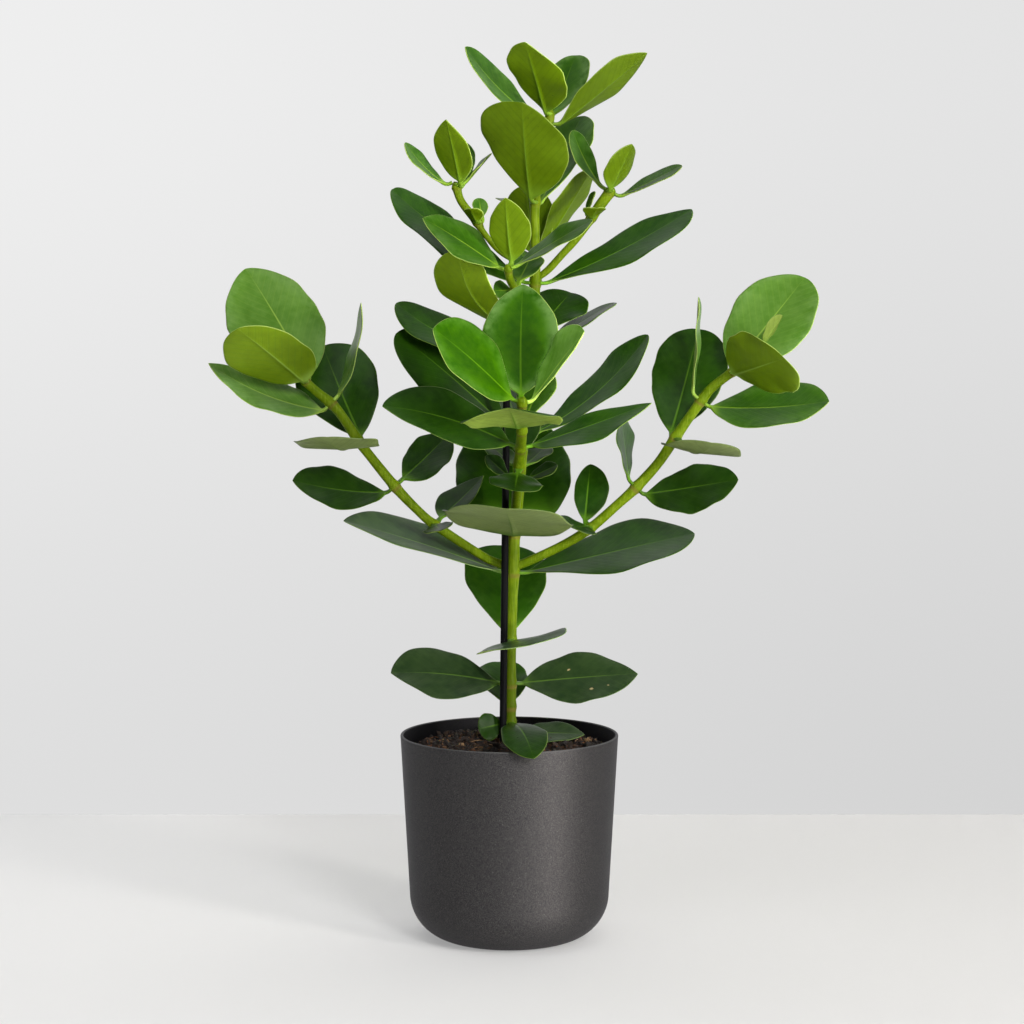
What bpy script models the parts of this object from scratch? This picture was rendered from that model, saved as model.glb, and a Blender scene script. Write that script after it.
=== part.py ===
"""Potted clusia: pot, soil, support stake, woody stems and fleshy leaves.

The plant stands in a tapered cover pot. The frame's origin is the centre of the pot's flat foot,
+Z is up and -Y is the side that faces a viewer. Shoots and leaves are laid out in millimetres and
degrees. Leaves sit in opposite pairs, each pair turned a quarter turn from the one below it.
"""

import bmesh
import bpy
import numpy as np

MM = 0.001
SEAT_GAP = 0.3          # clearance between a piece and what carries it
GUIDE = "guide_"        # how the names of the hidden guides begin

# Pot, a turned shell
POT_TOP_RADIUS = 90.0
POT_HEIGHT = 169.0
POT_FOOT_RADIUS = 47.0
POT_WALL_RADIUS_AT_FLOOR = 80.5
POT_EDGE_RADIUS = 37.0
POT_WALL = 2.6
POT_FLOOR = 4.0
POT_LIP_ROUND = 0.6
POT_MIDDLE = 105.0      # height of the ring part way up the wall
POT_SEGMENTS = 40
POT_EDGE_STEPS = 4
POT_FINISH = (0.42, 0.55)    # roughness, metallic

# Soil, a crowned plug
SOIL_CROWN = 166.0
SOIL_SHOULDER_RADIUS = 74.0
SOIL_SHOULDER = 160.5
SOIL_EDGE = 150.0
SOIL_SEGMENTS = 30
SOIL_WALL_CLEARANCE = 0.4    # more than SEAT_GAP, because the wall and the plug have other facets
SOIL_ROLL = 2.0         # how far the soil bulges between its edge and its shoulder
SOIL_CROWN_DROP = 1.5   # from the crown, halfway out to the shoulder
SOIL_FINISH = (0.95, 0.0)

# Stake, a round plastic rod pushed into the soil beside the stem
STAKE_RADIUS = 2.9
STAKE_FOOT = (-6.5, -9.0, 60.0)
STAKE_TOP = (-2.0, -9.0, 462.0)
STAKE_SIDES = 12
STAKE_FINISH = (0.35, 0.0)
STEM_FOOT = 118.0       # the stem goes this far down into the soil
STEM_SIDES = 9
STEM_FINISH = (0.50, 0.0)
HOLE_CLEARANCE = 0.3    # between the soil and what is planted in it

# Leaf section
LEAF_FINISH = (0.40, 0.0)
LEAF_THICKNESS = 1.3
LEAF_EDGE_THICKNESS = 0.8
PETIOLE_LENGTH = 9.0
PETIOLE_HALF_WIDTH = 2.0
PETIOLE_THICKNESS = 3.0
PETIOLE_EDGE_THICKNESS = 1.5
BLADE_START = 0.6       # the blade begins at this share of the petiole
NECK_END = 1.6          # in petiole lengths: past here the leaf has its full thinness
CUP_POWER = 1.4         # how the cup lifts the edges more than the middle
GROWN_DEPTH = 0.3       # a grown-in petiole starts this share of the stem's radius from its axis
SHARP_ANGLE = 50        # degrees between faces that meet in a visible edge
PETIOLE_SHARE = 0.22    # a small leaf's petiole is at most this share of its length
OUTLINES = {            # how slowly the blade widens from its base, how sharply it closes at its tip
    "broad": (0.62, 0.48),
    "round": (0.78, 0.50),
    "oval": (1.05, 0.62),
    "pointed": (1.25, 0.76),
    "long": (1.00, 1.05),
}
TIP_HALF_WIDTH = 0.8
SMALL_LEAF = 48.0       # leaves shorter than this get a plainer mesh
LARGE_STATIONS = (0.0, 0.06, 0.17, 0.35, 0.55, 0.76, 0.92, 1.0)
SMALL_STATIONS = (0.0, 0.16, 0.36, 0.62, 0.86, 1.0)
LARGE_COLUMNS = (-1.0, -0.5, 0.0, 0.5, 1.0)
SMALL_COLUMNS = (-1.0, 0.0, 1.0)
CURVE_STEPS = 120

# Shoots: points (x, y, z, radius) from foot to tip, in mm. Leaves sit on the points.
# Those in GROWN_IN are one solid with the main stem; each other shoot is a solid of its own.
GROWN_IN = ("left", "right", "front")
SHOOTS = {
    "main": (
        (1, 0, STEM_FOOT, 4.4), (1, 0, 169, 4.6), (1, 0, 178, 4.6), (1, 0, 192, 4.5), (1, 0, 211, 4.8),
        (1, 0, 230, 4.5), (1, 0, 247, 4.9), (2, 0, 280, 4.8), (3, 0, 303, 5.4), (4, 0, 335, 5.0),
        (8, 0, 371, 4.4), (12, 0, 418, 4.4), (16, 0, 455, 4.2), (18, 0, 484, 4.3), (19, 0, 503, 4.2),
        (21, 0, 540, 4.4), (21, 0, 571, 3.8), (21, 0, 605, 4.0), (25, 0, 635, 3.5), (32, 0, 669, 3.6),
        (33, 0, 676, 3.0), (34, 0, 681, 1.6),
    ),
    "left": (
        (1, 0, 308, 3.6), (-13, 0, 312, 3.6), (-26, 0, 319, 3.6), (-61, 0, 342, 3.9), (-76, 0, 355, 3.7),
        (-94, 0, 374, 4.2), (-115, 0, 400, 3.9), (-124, 0, 412, 4.3), (-138, 0, 433, 3.9),
        (-146, 0, 442, 4.3), (-157, 0, 451, 3.8), (-167, 0, 460, 3.4), (-171, 0, 464, 1.8),
    ),
    "right": (
        (5, 0, 308, 3.6), (20, 0, 314, 3.7), (45, 0, 326, 3.7), (66, 0, 339, 4.0), (90, 0, 360, 3.8),
        (104, 0, 373, 4.3), (122, 0, 393, 4.0), (136, 0, 414, 4.3), (147, 0, 430, 3.9), (157, 0, 444, 4.1),
        (166, 0, 455, 3.8), (183, 0, 468, 3.6), (193, -4, 475, 2.6), (208, -12, 486, 2.0),
        (210, -13, 489, 1.2),
    ),
    "front": (
        (4, -2, 345, 3.2), (5, -14, 356, 3.6), (7, -40, 380, 4.4), (8, -54, 394, 4.2), (9, -70, 409, 4.3),
        (10, -95, 424, 3.9), (10, -104, 433, 3.8), (10, -115, 446, 3.6), (11, -117, 449, 3.0),
        (11, -118, 451, 1.6),
    ),
    "back": (
        (5, 2, 345, 3.2), (6, 12, 362, 3.6), (8, 28, 392, 4.0), (10, 44, 424, 3.8), (11, 56, 452, 3.4),
        (11, 58, 457, 1.8),
    ),
    "upper_left": (
        (20, 0, 546, 2.2), (10, 0, 555, 2.5), (-8, 0, 566, 2.4), (-21, 0, 581, 2.5), (-26, 0, 589, 3.4),
        (-39, 0, 606, 3.2), (-43, 0, 618, 3.4), (-45, 0, 622, 1.8),
    ),
    "upper_right": (
        (22, 0, 543, 2.4), (32, 0, 551, 3.0), (43, 0, 563, 3.0), (54, 0, 575, 3.1), (67, 0, 593, 3.8),
        (74, 0, 603, 4.4), (82, 0, 614, 4.2), (84, 0, 619, 2.0),
    ),
    "upper_front": (
        (21, -1, 532, 2.6), (16, -14, 531, 2.8), (6, -40, 534, 3.0), (1, -54, 541, 3.2), (-1, -61, 550, 2.8),
        (-2, -63, 554, 1.6),
    ),
    "upper_back": (
        (21, 1, 532, 2.6), (24, 20, 541, 2.8), (22, 44, 551, 3.0), (20, 58, 560, 2.8),
        (19, 62, 564, 1.6),
    ),
}

# Leaves: node name -> (shoot, point, heading, rise, length, width, bend, roll, cup, outline).
# Heading is the compass direction (0 = +X, 90 = +Y) and rise the angle above level at the base.
# Bend is added to the rise along the leaf, roll tips it about its midrib and cup lifts its edges.
# Lengths in mm, angles in degrees. The main stem's leaves go from its foot to its tip.
LEAVES = {
    "leaf_foot_front": ("main", 2, -80, 12, 103, 37, -36, 0, 0.05, "oval"),
    "leaf_foot_left": ("main", 2, 205, -8, 25, 23, 0, -74, 0.05, "round"),
    "leaf_foot_right": ("main", 1, -6, 3.5, 57, 33, -6, 22, 0.10, "oval"),
    "leaf_foot_back": ("main", 3, 100, 36, 60, 43, -8, 0, 0.10, "round"),
    "leaf_low_left": ("main", 4, 182, 13, 95, 62, -14, -33, 0.08, "oval"),
    "leaf_low_right": ("main", 4, -2, 7, 101, 64, -4, 34, 0.08, "oval"),
    "leaf_second_front": ("main", 6, -81, 7, 95, 75, -3, 13, 0.04, "oval"),
    "leaf_second_back": ("main", 6, 94, 46, 112, 70, -5, 0, 0.10, "broad"),
    "leaf_great_left": ("main", 8, 180, 20, 141, 64, -4, -17, 0.10, "pointed"),
    "leaf_great_right": ("main", 8, 0, 13.5, 148, 88, -1, 22, 0.10, "pointed"),
    "leaf_great_front": ("main", 9, -93, 15.5, 124, 106, 0, -5, 0.04, "round"),
    "leaf_great_back": ("main", 9, 90, 46, 145, 98, 0, 0, 0.10, "broad"),
    "leaf_middle_left": ("main", 11, 180, 46, 130, 82, -10, -35, 0.08, "oval"),
    "leaf_middle_right": ("main", 11, 0, 24, 129, 62, 33, 22, 0.08, "oval"),
    "leaf_inner_left": ("main", 13, 172, -2, 118, 58, 44, -25, 0.08, "oval"),
    "leaf_inner_right": ("main", 13, 30, 34.5, 88, 34, -10, 0, 0.08, "oval"),
    "leaf_inner_front": ("main", 14, -157, 5, 103, 68, 70, 0, 0.08, "round"),
    "leaf_inner_back": ("main", 14, 52, 34, 58, 52, 0, 18, 0.10, "round"),
    "leaf_wing_left": ("main", 15, 180, 24.5, 137, 64, 20, -28, 0.10, "oval"),
    "leaf_wing_right": ("main", 15, 0, 20.5, 138, 70, 12, 25, 0.10, "pointed"),
    "leaf_upper_front": ("main", 17, -99, 57, 98, 70, 0, -10, 0.08, "broad"),
    "leaf_upper_back": ("main", 17, 50, 54, 96, 54, 0, 0, 0.10, "oval"),
    "leaf_crown_left": ("main", 19, 183, 30, 90, 34, 28, -34, 0.10, "oval"),
    "leaf_crown_right": ("main", 19, -8, 36, 96, 46, 4, -26, 0.10, "oval"),
    "leaf_tip_front": ("main", 20, -110, 46, 76, 52, 0, -14, 0.02, "oval"),
    "leaf_tip_back": ("main", 20, 62, 51, 72, 42, 0, 0, 0.10, "broad"),
    "leaf_left_first": ("left", 3, 40, 30, 62, 34, 10, 10, 0.10, "pointed"),
    "leaf_left_second_out": ("left", 5, 180, -3, 83, 50, 20, -37, 0.08, "oval"),
    "leaf_left_second_in": ("left", 5, 25, 36, 62, 48, 10, 26, 0.10, "oval"),
    "leaf_left_third_front": ("left", 7, -104, -20, 76, 70, 50, 2, 0.10, "oval"),
    "leaf_left_third_back": ("left", 7, 128, 53, 98, 68, 0, -28, 0.08, "round"),
    "leaf_left_fourth_out": ("left", 9, 180, 8, 107, 54, 28, -30, 0.08, "oval"),
    "leaf_left_fourth_in": ("left", 9, 0, 59, 84, 50, 32, 12, 0.06, "oval"),
    "leaf_left_tip_front": ("left", 11, -134, 33, 86, 68, -2, 32, 0.06, "broad"),
    "leaf_left_tip_back": ("left", 11, 146, 53, 116, 84, 0, -33, 0.08, "broad"),
    "leaf_right_first": ("right", 3, 80, 56, 60, 30, 0, 0, 0.10, "round"),
    "leaf_right_second_out": ("right", 5, 0, 8, 83, 54, 2, 42, 0.08, "oval"),
    "leaf_right_second_in": ("right", 5, 180, 83, 58, 52, 0, -17, 0.06, "oval"),
    "leaf_right_third_front": ("right", 7, -75, -27, 84, 66, 54, -9, 0.08, "oval"),
    "leaf_right_third_back": ("right", 7, 62, 57, 107, 66, 0, 15, 0.08, "round"),
    "leaf_right_fourth_out": ("right", 9, 0, -4, 103, 60, 13, 31, 0.08, "oval"),
    "leaf_right_fourth_in": ("right", 9, 180, 95, 84, 46, -4, -8, 0.06, "oval"),
    "leaf_right_tip_front": ("right", 11, -65, 10, 84, 68, 0, -45, 0.06, "broad"),
    "leaf_right_tip_back": ("right", 11, 30, 45, 109, 76, 0, 30, 0.08, "broad"),
    "leaf_front_left": ("front", 4, 182, 28, 111, 60, -22, -40, 0.08, "oval"),
    "leaf_front_right": ("front", 4, 0, 18, 106, 66, 3, 20, 0.08, "long"),
    "leaf_front_low": ("front", 6, -97, 27, 68, 78, -18, 2, -0.20, "broad"),
    "leaf_front_behind": ("front", 5, 66, 44, 60, 32, 0, 0, 0.10, "oval"),
    "leaf_rosette_left": ("front", 7, 196, 45, 88, 66, -8, -47, 0.08, "oval"),
    "leaf_rosette_right": ("front", 7, -32, 49, 76, 44, 0, 50, 0.08, "oval"),
    "leaf_rosette_back": ("front", 7, 88, 67, 99, 60, 0, 0, 0.10, "oval"),
}
LONG_PETIOLES = {
    "leaf_middle_left": 16.0,
    "leaf_great_front": 24.0,
    "leaf_great_back": 34.0,
    "leaf_second_back": 20.0,
    "leaf_upper_front": 18.0,
    "leaf_front_low": 14.0,
}
TWISTS = {"leaf_crown_right": -18.0}     # degrees that the tip end turns against the base end
SWINGS = {                               # degrees that the heading turns along the leaf
    "leaf_inner_front": 42.0,
}
# Leaves with two different margins, left then right as seen from the stem and from above: how
# slowly each widens, how sharply it closes, and its greatest width as a share of half the leaf's
MARGINS = {
    "leaf_left_tip_back": ((0.70, 0.76, 1.06), (0.66, 0.66, 0.86)),
    "leaf_left_tip_front": ((0.40, 0.62, 0.80), (0.62, 0.50, 1.05)),
    "leaf_left_fourth_out": ((0.70, 0.95, 0.88), (0.85, 0.95, 1.00)),
    "leaf_left_fourth_in": ((0.65, 0.90, 0.90), (0.65, 0.90, 0.90)),
    "leaf_left_second_out": ((0.75, 0.95, 1.00), (0.95, 0.50, 1.02)),
    "leaf_left_second_in": ((0.90, 0.75, 0.90), (0.60, 0.75, 1.10)),
    "leaf_left_first": ((0.70, 1.00, 1.20), (0.90, 1.20, 0.80)),
    "leaf_great_left": ((1.00, 0.85, 0.68), (1.00, 0.66, 1.20)),
    "leaf_rosette_left": ((0.72, 0.72, 0.93), (1.00, 0.66, 1.06)),
    "leaf_rosette_back": ((0.80, 0.78, 1.00), (0.80, 0.78, 1.00)),
    "leaf_rosette_right": ((0.95, 0.55, 1.34), (0.85, 0.66, 0.34)),
    "leaf_front_left": ((0.70, 0.95, 0.92), (0.85, 0.62, 1.00)),
    "leaf_front_right": ((1.00, 1.05, 0.62), (0.80, 1.00, 1.12)),
    "leaf_great_back": ((0.42, 0.52, 1.00), (0.42, 0.52, 1.00)),
    "leaf_second_back": ((0.95, 0.45, 1.00), (0.95, 0.50, 1.00)),
    "leaf_great_front": ((0.45, 0.42, 0.95), (0.45, 0.42, 1.02)),
    "leaf_right_first": ((0.80, 0.70, 0.75), (0.75, 0.70, 1.20)),
    "leaf_great_right": ((1.15, 0.76, 0.92), (1.15, 0.66, 1.00)),
    "leaf_front_low": ((0.90, 0.40, 1.00), (0.90, 0.40, 1.00)),
    "leaf_right_tip_back": ((0.66, 0.50, 0.98), (0.52, 0.55, 0.98)),
    "leaf_right_fourth_out": ((0.95, 0.52, 1.20), (0.62, 0.85, 1.12)),
    "leaf_right_third_back": ((0.78, 0.50, 0.90), (0.78, 0.50, 1.00)),
    "right_1": ((0.60, 0.45, 1.00), (0.60, 0.45, 1.00)),
    "upper_left_1": ((0.85, 1.20, 0.88), (0.85, 0.80, 1.10)),
    "leaf_tip_front": ((0.90, 1.00, 1.08), (1.10, 0.72, 0.92)),
    "leaf_crown_left": ((0.95, 0.85, 0.95), (0.95, 0.60, 1.20)),
    "leaf_crown_right": ((0.95, 0.95, 0.80), (1.00, 0.85, 0.95)),
    "leaf_upper_front": ((0.80, 0.85, 1.00), (1.05, 0.42, 1.06)),
    "leaf_wing_left": ((0.85, 0.62, 1.24), (0.90, 0.46, 0.84)),
    "leaf_wing_right": ((1.10, 0.80, 0.76), (1.25, 0.62, 1.12)),
    "upper_front_0": ((0.90, 0.92, 1.00), (0.95, 0.78, 1.00)),
    "upper_front_1": ((0.85, 0.85, 1.05), (0.90, 0.90, 0.90)),
    "upper_right_1": ((0.75, 0.85, 1.15), (0.75, 0.80, 0.90)),
    "leaf_foot_front": ((0.90, 0.80, 1.02), (0.95, 0.45, 1.05)),
    "leaf_low_left": ((0.90, 1.00, 1.05), (1.10, 0.62, 0.98)),
    "leaf_low_right": ((0.85, 0.95, 0.90), (0.95, 0.85, 1.02)),
    "leaf_inner_front": ((0.78, 0.50, 0.70), (0.78, 0.50, 1.00)),
    "leaf_foot_right": ((0.70, 0.85, 1.00), (0.70, 0.85, 1.00)),
    "leaf_right_second_out": ((0.95, 0.60, 0.86), (0.70, 0.85, 1.12)),
}

# Small leaves that are one solid with their shoot, in rows like those of LEAVES
SHOOT_LEAVES = {
    "left": (("left", 3, -78, -4, 32, 26, 0, 18, 0.10, "round"),),
    "right": (
        ("right", 3, -120, 4, 35, 36, 0, -24, 0.10, "round"),
        ("right", 13, -15, 58, 32, 27, 0, -10, 0.15, "round"),
    ),
    "front": (
        ("front", 2, 180, 42, 30, 20, 0, -40, 0.10, "pointed"),
        ("front", 2, 0, 26, 31, 20, 0, 30, 0.10, "oval"),
        ("front", 3, -95, -21, 38, 43, 0, -8, 0.05, "round"),
        ("front", 3, 80, 62, 48, 30, 0, 0, 0.10, "oval"),
    ),
    "back": (
        ("back", 2, 118, 20, 44, 26, 0, 0, 0.10, "round"),
        ("back", 2, 62, 20, 44, 26, 0, 0, 0.10, "round"),
        ("back", 3, 100, 25, 90, 50, 0, 0, 0.10, "round"),
        ("back", 4, 165, 40, 66, 44, 0, 0, 0.10, "oval"),
        ("back", 4, 62, 40, 56, 40, 0, 0, 0.10, "oval"),
    ),
    "upper_left": (
        ("upper_left", 7, 180, 30, 53, 23, 28, -28, 0.10, "oval"),
        ("upper_left", 6, -128, 70, 58, 38, 0, 0, 0.06, "oval"),
        ("upper_left", 6, 0, 50, 37, 18, -5, 8, 0.12, "oval"),
        ("upper_left", 6, 110, 82, 38, 20, 0, 0, 0.12, "round"),
        ("upper_left", 4, -122, 42, 17, 18, 0, 0, 0.22, "round"),
        ("upper_left", 4, 112, 70, 21, 14, 0, 0, 0.15, "oval"),
    ),
    "upper_right": (
        ("upper_right", 6, 172, 52, 56, 24, 20, -38, 0.12, "oval"),
        ("upper_right", 6, -42, 57, 47, 34, 0, 0, 0.20, "oval"),
        ("upper_right", 6, 0, 25, 61, 25, 2, 24, 0.12, "oval"),
        ("upper_right", 4, -70, 30, 15, 20, 0, 0, 0.22, "round"),
        ("upper_right", 4, 20, 68, 22, 14, 0, 0, 0.15, "oval"),
    ),
    "upper_front": (
        ("upper_front", 4, 182, 36, 77, 47, -6, -36, 0.08, "oval"),
        ("upper_front", 4, -105, 68, 59, 35, 0, 0, 0.10, "round"),
        ("upper_front", 4, 0, 34, 75, 42, -6, 20, 0.08, "oval"),
        ("upper_front", 2, 60, 45, 34, 32, 0, 0, 0.10, "round"),
        ("upper_front", 2, -160, 0, 17, 18, 0, -60, 0.15, "round"),
    ),
    "upper_back": (
        ("upper_back", 3, -113, 74, 62, 43, 0, 0, 0.10, "broad"),
        ("upper_back", 3, -36, 50, 92, 40, 4, 0, 0.10, "oval"),
        ("upper_back", 3, 120, 80, 88, 20, -80, 0, 0.10, "oval"),
        ("upper_back", 2, 120, 38, 26, 18, 0, 0, 0.10, "oval"),
    ),
}

# Colours, linear RGB
POT_COLOUR = (0.045, 0.045, 0.047)
SOIL_COLOUR = (0.085, 0.040, 0.018)
STAKE_COLOUR = (0.010, 0.010, 0.010)
STEM_COLOUR = (0.200, 0.260, 0.030)
OLD_LEAF_COLOUR = (0.020, 0.075, 0.012)
YOUNG_LEAF_COLOUR = (0.085, 0.230, 0.012)
YOUNG_LEAVES = (
    "leaf_tip_front", "leaf_tip_back", "leaf_crown_left", "leaf_crown_right", "leaf_rosette_left",
    "leaf_rosette_right", "leaf_rosette_back", "leaf_left_tip_back", "leaf_left_fourth_out",
    "leaf_right_tip_back", "leaf_right_fourth_out",
)


def clear_scene():
    """Remove every object that the file holds."""
    for item in list(bpy.data.objects):
        bpy.data.objects.remove(item, do_unlink=True)


def make_material(name, colour, finish):
    """A Principled material of one colour; finish is (roughness, metallic)."""
    material = bpy.data.materials.new(name)
    material.use_nodes = True
    shader = material.node_tree.nodes["Principled BSDF"]
    shader.inputs["Base Color"].default_value = (*colour, 1.0)
    shader.inputs["Roughness"].default_value = finish[0]
    shader.inputs["Metallic"].default_value = finish[1]
    return material


def add_object(name, vertices, faces, material):
    """A mesh object from points in mm."""
    mesh = bpy.data.meshes.new(name)
    mesh.from_pydata([tuple(float(c) * MM for c in v) for v in vertices], [], faces)
    mesh.validate()
    mesh.shade_smooth()
    item = bpy.data.objects.new(name, mesh)
    item.data.materials.append(material)
    bpy.context.scene.collection.objects.link(item)
    return item


def keep_faces_outward(item):
    """Make every face point out of its closed body."""
    shape = bmesh.new()
    shape.from_mesh(item.data)
    bmesh.ops.recalc_face_normals(shape, faces=shape.faces)
    shape.to_mesh(item.data)
    shape.free()


def turned(name, profile, segments, material):
    """Turn a profile of (radius, height) points about Z; radius 0 at an end closes on the axis."""
    vertices = []
    rings = []
    for radius, height in profile:
        if radius == 0.0:
            rings.append([len(vertices)])
            vertices.append((0.0, 0.0, height))
            continue
        start = len(vertices)
        for index in range(segments):
            angle = 2.0 * np.pi * index / segments
            vertices.append((radius * np.cos(angle), radius * np.sin(angle), height))
        rings.append(list(range(start, start + segments)))
    faces = []
    for lower, upper in zip(rings[:-1], rings[1:]):
        for index in range(segments):
            after = (index + 1) % segments
            if len(lower) == 1:
                faces.append((lower[0], upper[after], upper[index]))
            elif len(upper) == 1:
                faces.append((lower[index], lower[after], upper[0]))
            else:
                faces.append((lower[index], lower[after], upper[after], upper[index]))
    item = add_object(name, vertices, faces, material)
    keep_faces_outward(item)
    item.data.set_sharp_from_angle(angle=np.radians(SHARP_ANGLE))
    return item


def wall_radius(height):
    """Outer radius of the pot's straight wall at a height."""
    slope = (POT_TOP_RADIUS - POT_WALL_RADIUS_AT_FLOOR) / POT_HEIGHT
    return POT_WALL_RADIUS_AT_FLOOR + slope * height


def edge_arc(foot_radius, foot_height, wall_offset, steps):
    """The rounded bottom edge, from the flat foot out to the wall, as (radius, height) points."""
    rise = POT_EDGE_RADIUS - foot_height
    reach = wall_radius(POT_EDGE_RADIUS) - wall_offset - foot_radius
    points = []
    for step in range(steps + 1):
        angle = 0.5 * np.pi * step / steps
        points.append((foot_radius + reach * np.sin(angle), foot_height + rise * (1.0 - np.cos(angle))))
    return points


def pot_outer_profile():
    """The pot's outside, from the axis under the foot up to the lip."""
    points = [(0.0, 0.0)]
    points += edge_arc(POT_FOOT_RADIUS, 0.0, 0.0, POT_EDGE_STEPS)
    points.append((wall_radius(POT_MIDDLE), POT_MIDDLE))
    points.append((POT_TOP_RADIUS, POT_HEIGHT - POT_LIP_ROUND))
    points.append((POT_TOP_RADIUS - POT_LIP_ROUND, POT_HEIGHT))
    return points


def pot_inner_profile(offset):
    """The pot's inside, from the axis on the floor up to the lip, kept an offset clear of the wall."""
    points = [(0.0, POT_FLOOR + offset)]
    points += edge_arc(POT_FOOT_RADIUS - offset, POT_FLOOR + offset, POT_WALL + offset, POT_EDGE_STEPS)
    return points


def build_pot():
    """The cover pot: one turned shell, open at the top."""
    inside = pot_inner_profile(0.0)
    inside.append((wall_radius(POT_MIDDLE) - POT_WALL, POT_MIDDLE))
    inside.append((POT_TOP_RADIUS - POT_WALL, POT_HEIGHT - POT_LIP_ROUND))
    inside.append((POT_TOP_RADIUS - POT_WALL + POT_LIP_ROUND, POT_HEIGHT))
    profile = pot_outer_profile() + inside[::-1]
    return turned("pot", profile, POT_SEGMENTS, make_material("pot_glaze", POT_COLOUR, POT_FINISH))


def build_soil(planted):
    """The soil: a crowned plug, with a hole for each thing that is planted in it."""
    profile = pot_inner_profile(SEAT_GAP)
    edge_radius = wall_radius(SOIL_EDGE) - POT_WALL - SOIL_WALL_CLEARANCE
    roll_radius = 0.5 * (edge_radius + SOIL_SHOULDER_RADIUS)
    roll_height = 0.5 * (SOIL_EDGE + SOIL_SHOULDER) + SOIL_ROLL
    profile.append((wall_radius(POT_MIDDLE) - POT_WALL - SOIL_WALL_CLEARANCE, POT_MIDDLE))
    profile.append((edge_radius, SOIL_EDGE))
    profile.append((roll_radius, roll_height))
    profile.append((SOIL_SHOULDER_RADIUS, SOIL_SHOULDER))
    profile.append((0.5 * SOIL_SHOULDER_RADIUS, SOIL_CROWN - SOIL_CROWN_DROP))
    profile.append((0.0, SOIL_CROWN))
    crumbs = make_material("soil_crumbs", SOIL_COLOUR, SOIL_FINISH)
    soil = turned("soil", profile, SOIL_SEGMENTS, crumbs)
    for cutter in planted:
        add_boolean(soil, "DIFFERENCE", cutter)
    return soil


def tube_frames(points):
    """Direction and two side vectors at each point of a route, without sudden turns."""
    route = np.array(points, dtype=float)
    step = np.diff(route, axis=0)
    step /= np.linalg.norm(step, axis=1)[:, None]
    direction = np.vstack([step[:1], step[:-1] + step[1:], step[-1:]])
    direction /= np.linalg.norm(direction, axis=1)[:, None]
    side = np.cross(direction[0], (0.0, 1.0, 0.0))
    if np.linalg.norm(side) < 0.1:
        side = np.cross(direction[0], (1.0, 0.0, 0.0))
    frames = []
    for along in direction:
        side = side - along * side.dot(along)
        side /= np.linalg.norm(side)
        frames.append((along, side, np.cross(along, side)))
    return route, frames


def add_tube(name, points, radii, sides, material):
    """A closed round rod along a route."""
    route, frames = tube_frames(points)
    vertices = []
    faces = []
    for centre, radius, (_, across, over) in zip(route, radii, frames):
        for index in range(sides):
            angle = 2.0 * np.pi * index / sides
            vertices.append(centre + radius * (np.cos(angle) * across + np.sin(angle) * over))
    for ring in range(len(route) - 1):
        for index in range(sides):
            after = (index + 1) % sides
            low = ring * sides
            faces.append((low + index, low + after, low + sides + after, low + sides + index))
    faces.append(tuple(range(sides))[::-1])
    faces.append(tuple(range((len(route) - 1) * sides, len(route) * sides)))
    item = add_object(name, vertices, faces, material)
    keep_faces_outward(item)
    item.data.set_sharp_from_angle(angle=np.radians(SHARP_ANGLE))
    return item


def hide_as_guide(item):
    """Mark an object as a cutter or guide, which is no piece of the plant."""
    item.hide_render = True
    item.display_type = "WIRE"
    return item


def shoot_tube(name, shoot, material, extra_radius=0.0):
    """A shoot's own rod, or with extra radius the sleeve around it."""
    points = SHOOTS[shoot]
    route = [point[:3] for point in points]
    radii = [point[3] + extra_radius for point in points]
    return add_tube(name, route, radii, STEM_SIDES, material)


def add_boolean(item, operation, tool):
    """Join a guide to an object, or cut it away, with the exact solver."""
    step = item.modifiers.new(tool.name, "BOOLEAN")
    step.operation = operation
    step.solver = "EXACT"
    step.object = tool


def grow_leaves(item, shoot, material):
    """Join a shoot's small leaves to an object."""
    for number, row in enumerate(SHOOT_LEAVES.get(shoot, ())):
        name = "%s_%d" % (shoot, number)
        leaf = leaf_object(GUIDE + name, row, petiole_of(name, row), material, True)
        add_boolean(item, "UNION", hide_as_guide(leaf))


def build_stems():
    """The woody stems: the main stem with its three long branches grown into it."""
    bark = make_material("stem_bark", STEM_COLOUR, STEM_FINISH)
    stems = shoot_tube("stems", "main", bark)
    for shoot in GROWN_IN:
        add_boolean(stems, "UNION", hide_as_guide(shoot_tube(GUIDE + shoot, shoot, bark)))
        grow_leaves(stems, shoot, bark)
    return stems


def build_side_shoots():
    """The short leafy shoots, each one solid with its own small leaves, seated on the main stem."""
    for shoot in SHOOTS:
        if shoot == "main" or shoot in GROWN_IN:
            continue
        skin = make_material("shoot_" + shoot + "_skin", YOUNG_LEAF_COLOUR, LEAF_FINISH)
        item = shoot_tube("shoot_" + shoot, shoot, skin)
        grow_leaves(item, shoot, skin)
        sleeve = shoot_tube(GUIDE + "sleeve_" + shoot, "main", skin, SEAT_GAP)
        add_boolean(item, "DIFFERENCE", hide_as_guide(sleeve))


def build_stake():
    """The support stake."""
    plastic = make_material("stake_plastic", STAKE_COLOUR, STAKE_FINISH)
    radii = (STAKE_RADIUS, STAKE_RADIUS)
    return add_tube("stake", (STAKE_FOOT, STAKE_TOP), radii, STAKE_SIDES, plastic)


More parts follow.
